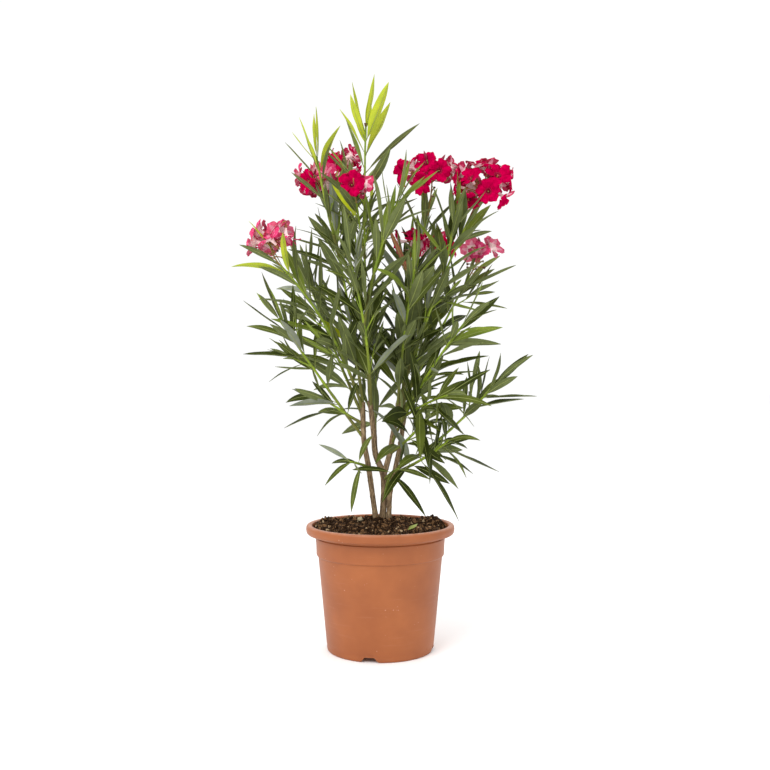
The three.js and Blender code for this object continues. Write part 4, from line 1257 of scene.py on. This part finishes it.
def fringe(blooms):
    """Three narrow teeth before each petal, uneven in height, that stand up in the throat and lean out."""
    teeth = PETALS * 3
    turn = (np.arange(teeth) * (FULL_TURN / teeth))[:, None, None]
    rise = np.linspace(0, 1, 3)[None, :, None]
    v = np.array([-1.0, 1.0])[None, None]
    reach = THROAT_RADIUS + 0.6 + 1.2 * rise
    height = 1.4 - THROAT_DEPTH + (3.2 + 1.4 * np.cos(7 * turn)) * rise
    local = spun(reach, v * 0.55 * (1.05 - rise), height, turn)
    return placed(local.reshape(1, teeth * 3, 2, 3), blooms).reshape(-1, 3, 2, 3)


def make_buds(runs, stalks, blooms, parts):
    """Buds are slim spindles, wound like a furled cloth, between the flowers of each truss. Dried calyces
    are small brown stars lower down, and one sits on the leader. Their stalks are added to parts."""
    bud_places, dry_places = [], []
    for order, (name, stalk) in enumerate(stalks.items()):
        flowers = chosen(blooms, blooms["truss"] == order)
        heart = stalk.at(1)[0]
        reach = np.linalg.norm(flowers["middle"] - heart, axis=-1).mean()
        for number in range(max(2, len(flowers["size"]) // 2)):
            luck = chance(order, number, 70)[0]
            around = BUD_TURN * number + order
            facing = unit(np.array([math.cos(around), math.sin(around), 0.9 + luck]))
            top = heart + facing * reach * lerp(*BUD_REACHES, luck)
            bud_places.append((top, facing, lerp(*BUD_SIZES, luck)))
            parts.append(pedicel(top - facing * BUD_FOOT, facing, stalk.at(0.9)[0]))
        for number in range(DRIED_CALYCES.get(name, 2)):
            around = DRIED_TURN * number + order + 1
            facing = unit(np.array([math.cos(around), math.sin(around), 0.1 - 0.2 * (number % 3)]))
            top = stalk.at(DRIED_TOP - DRIED_STEP * number)[0] + facing * (DRIED_REACH + number)
            dry_places.append((top, facing, 1.0 + 0.1 * (number % 3)))
            parts.append(pedicel(top, facing, stalk.at(DRIED_FOOT - DRIED_STEP * number)[0]))
    tip, along = runs["top"].at(1)[0], runs["top"].along(1)[0]
    dry_places.append((tip + along, along, 1.5))
    rows = np.linspace(0, 1, 9)
    swell = BUD_RADIUS * np.sin(math.pi * np.clip(rows, 0.03, 0.98) ** 0.75)
    spindle = revolved(np.stack([swell, rows * BUD_LENGTH - BUD_FOOT], -1), 10)
    wind = np.arctan2(spindle[..., 1], spindle[..., 0]) + rows[:, None] * 3
    spindle[..., :2] *= (1 + BUD_RIDGES * np.sin(5 * wind))[..., None]
    star = revolved(DRIED_STAR, 10)
    star[2, ::2, :2] *= 0.55
    return spread_over(spindle, bud_places), spread_over(star, dry_places)


def spread_over(shape, places):
    """One closed shape at many places, each with its facing and size, and turned differently."""
    middle, facing, size = (np.array(column) for column in zip(*places))
    turn = turned_to(facing, np.arange(len(places)) * 1.7)
    return closed(placed(shape, dict(size=size, turn=turn, middle=middle)))


# The studio

def make_studio():
    """A pale floor, a white surround, a broad key from the upper left front, a fill from the right and a
    light from behind."""
    scene = bpy.context.scene
    floor = bpy.data.meshes.new("studio_floor")
    corners = [(x * FLOOR_REACH, y * FLOOR_REACH, 0) for x, y in ((-1, -1), (1, -1), (1, 1), (-1, 1))]
    floor.from_pydata(corners, [], [(0, 1, 2, 3)])
    floor.materials.append(bpy.data.materials["studio_paper"])
    ground = bpy.data.objects.new("studio_floor", floor)
    scene.collection.objects.link(ground)
    world = bpy.data.worlds.new("studio_surround")
    world.use_nodes = True
    background = world.node_tree.nodes["Background"].inputs
    background["Color"].default_value = (1.0, 1.0, 1.0, 1.0)
    background["Strength"].default_value = SURROUND_STRENGTH
    scene.world = world
    for name, place, size, power in LAMPS:
        lamp = bpy.data.lights.new(name, "AREA")
        lamp.size, lamp.energy = size, power
        light = bpy.data.objects.new(name, lamp)
        light.location = place
        light.rotation_mode = "QUATERNION"
        light.rotation_quaternion = (Vector(LAMP_AIM) - Vector(place)).to_track_quat("-Z", "Y")
        scene.collection.objects.link(light)
    camera = bpy.data.objects.new("studio_camera", bpy.data.cameras.new("studio_camera"))
    camera.location = tuple(value * MM for value in CAMERA_PLACE)
    camera.rotation_euler = (math.pi / 2, 0.0, 0.0)
    camera.data.sensor_width = SENSOR_MM
    camera.data.lens = SENSOR_MM * FOCAL_PIXELS / FRAME_PIXELS
    camera.data.clip_end = CAMERA_FAR
    scene.collection.objects.link(camera)
    scene.camera = camera
    scene.view_settings.view_transform = "Standard"


for skin in SKINS:
    living(*skin)
for mix in MIXES:
    crumbly(*mix)
young_bark()
moulded_polypropylene()
studio_paper()

limb_runs = raise_limbs()
truss_stalks, all_blooms = plan_blooms(limb_runs)
leaf_groups, twig_runs = [], []
for shoot_order, shoot_row in enumerate(SHOOTS):
    shoot_run = limb_runs[shoot_row["name"]]
    leaf_groups.append(grow_leaves(shoot_run, shoot_order, shoot_row))
    twig_row = shoot_row | dict(bare=SIDE_TWIG_BARE, leaf=shoot_row["leaf"] * SIDE_TWIG_LEAF)
    for twig_number, twig_run in enumerate(side_twigs(shoot_run, shoot_order, shoot_row)):
        twig_runs.append(twig_run)
        twig_order = 100 + 10 * shoot_order + twig_number
        leaf_groups.append(grow_leaves(twig_run, twig_order, twig_row, SIDE_TWIG_DEPTH))
all_leaves = gathered(leaf_groups)
all_leaves = chosen(all_leaves, all_leaves["kept"] & clear_of_neighbours(all_leaves, all_blooms, limb_runs))

make_pot()
make_soil()
make_stems(limb_runs)
make_shoots(limb_runs, twig_runs)
make_leaves(all_leaves)
make_flowers(limb_runs, truss_stalks, all_blooms)
make_studio()
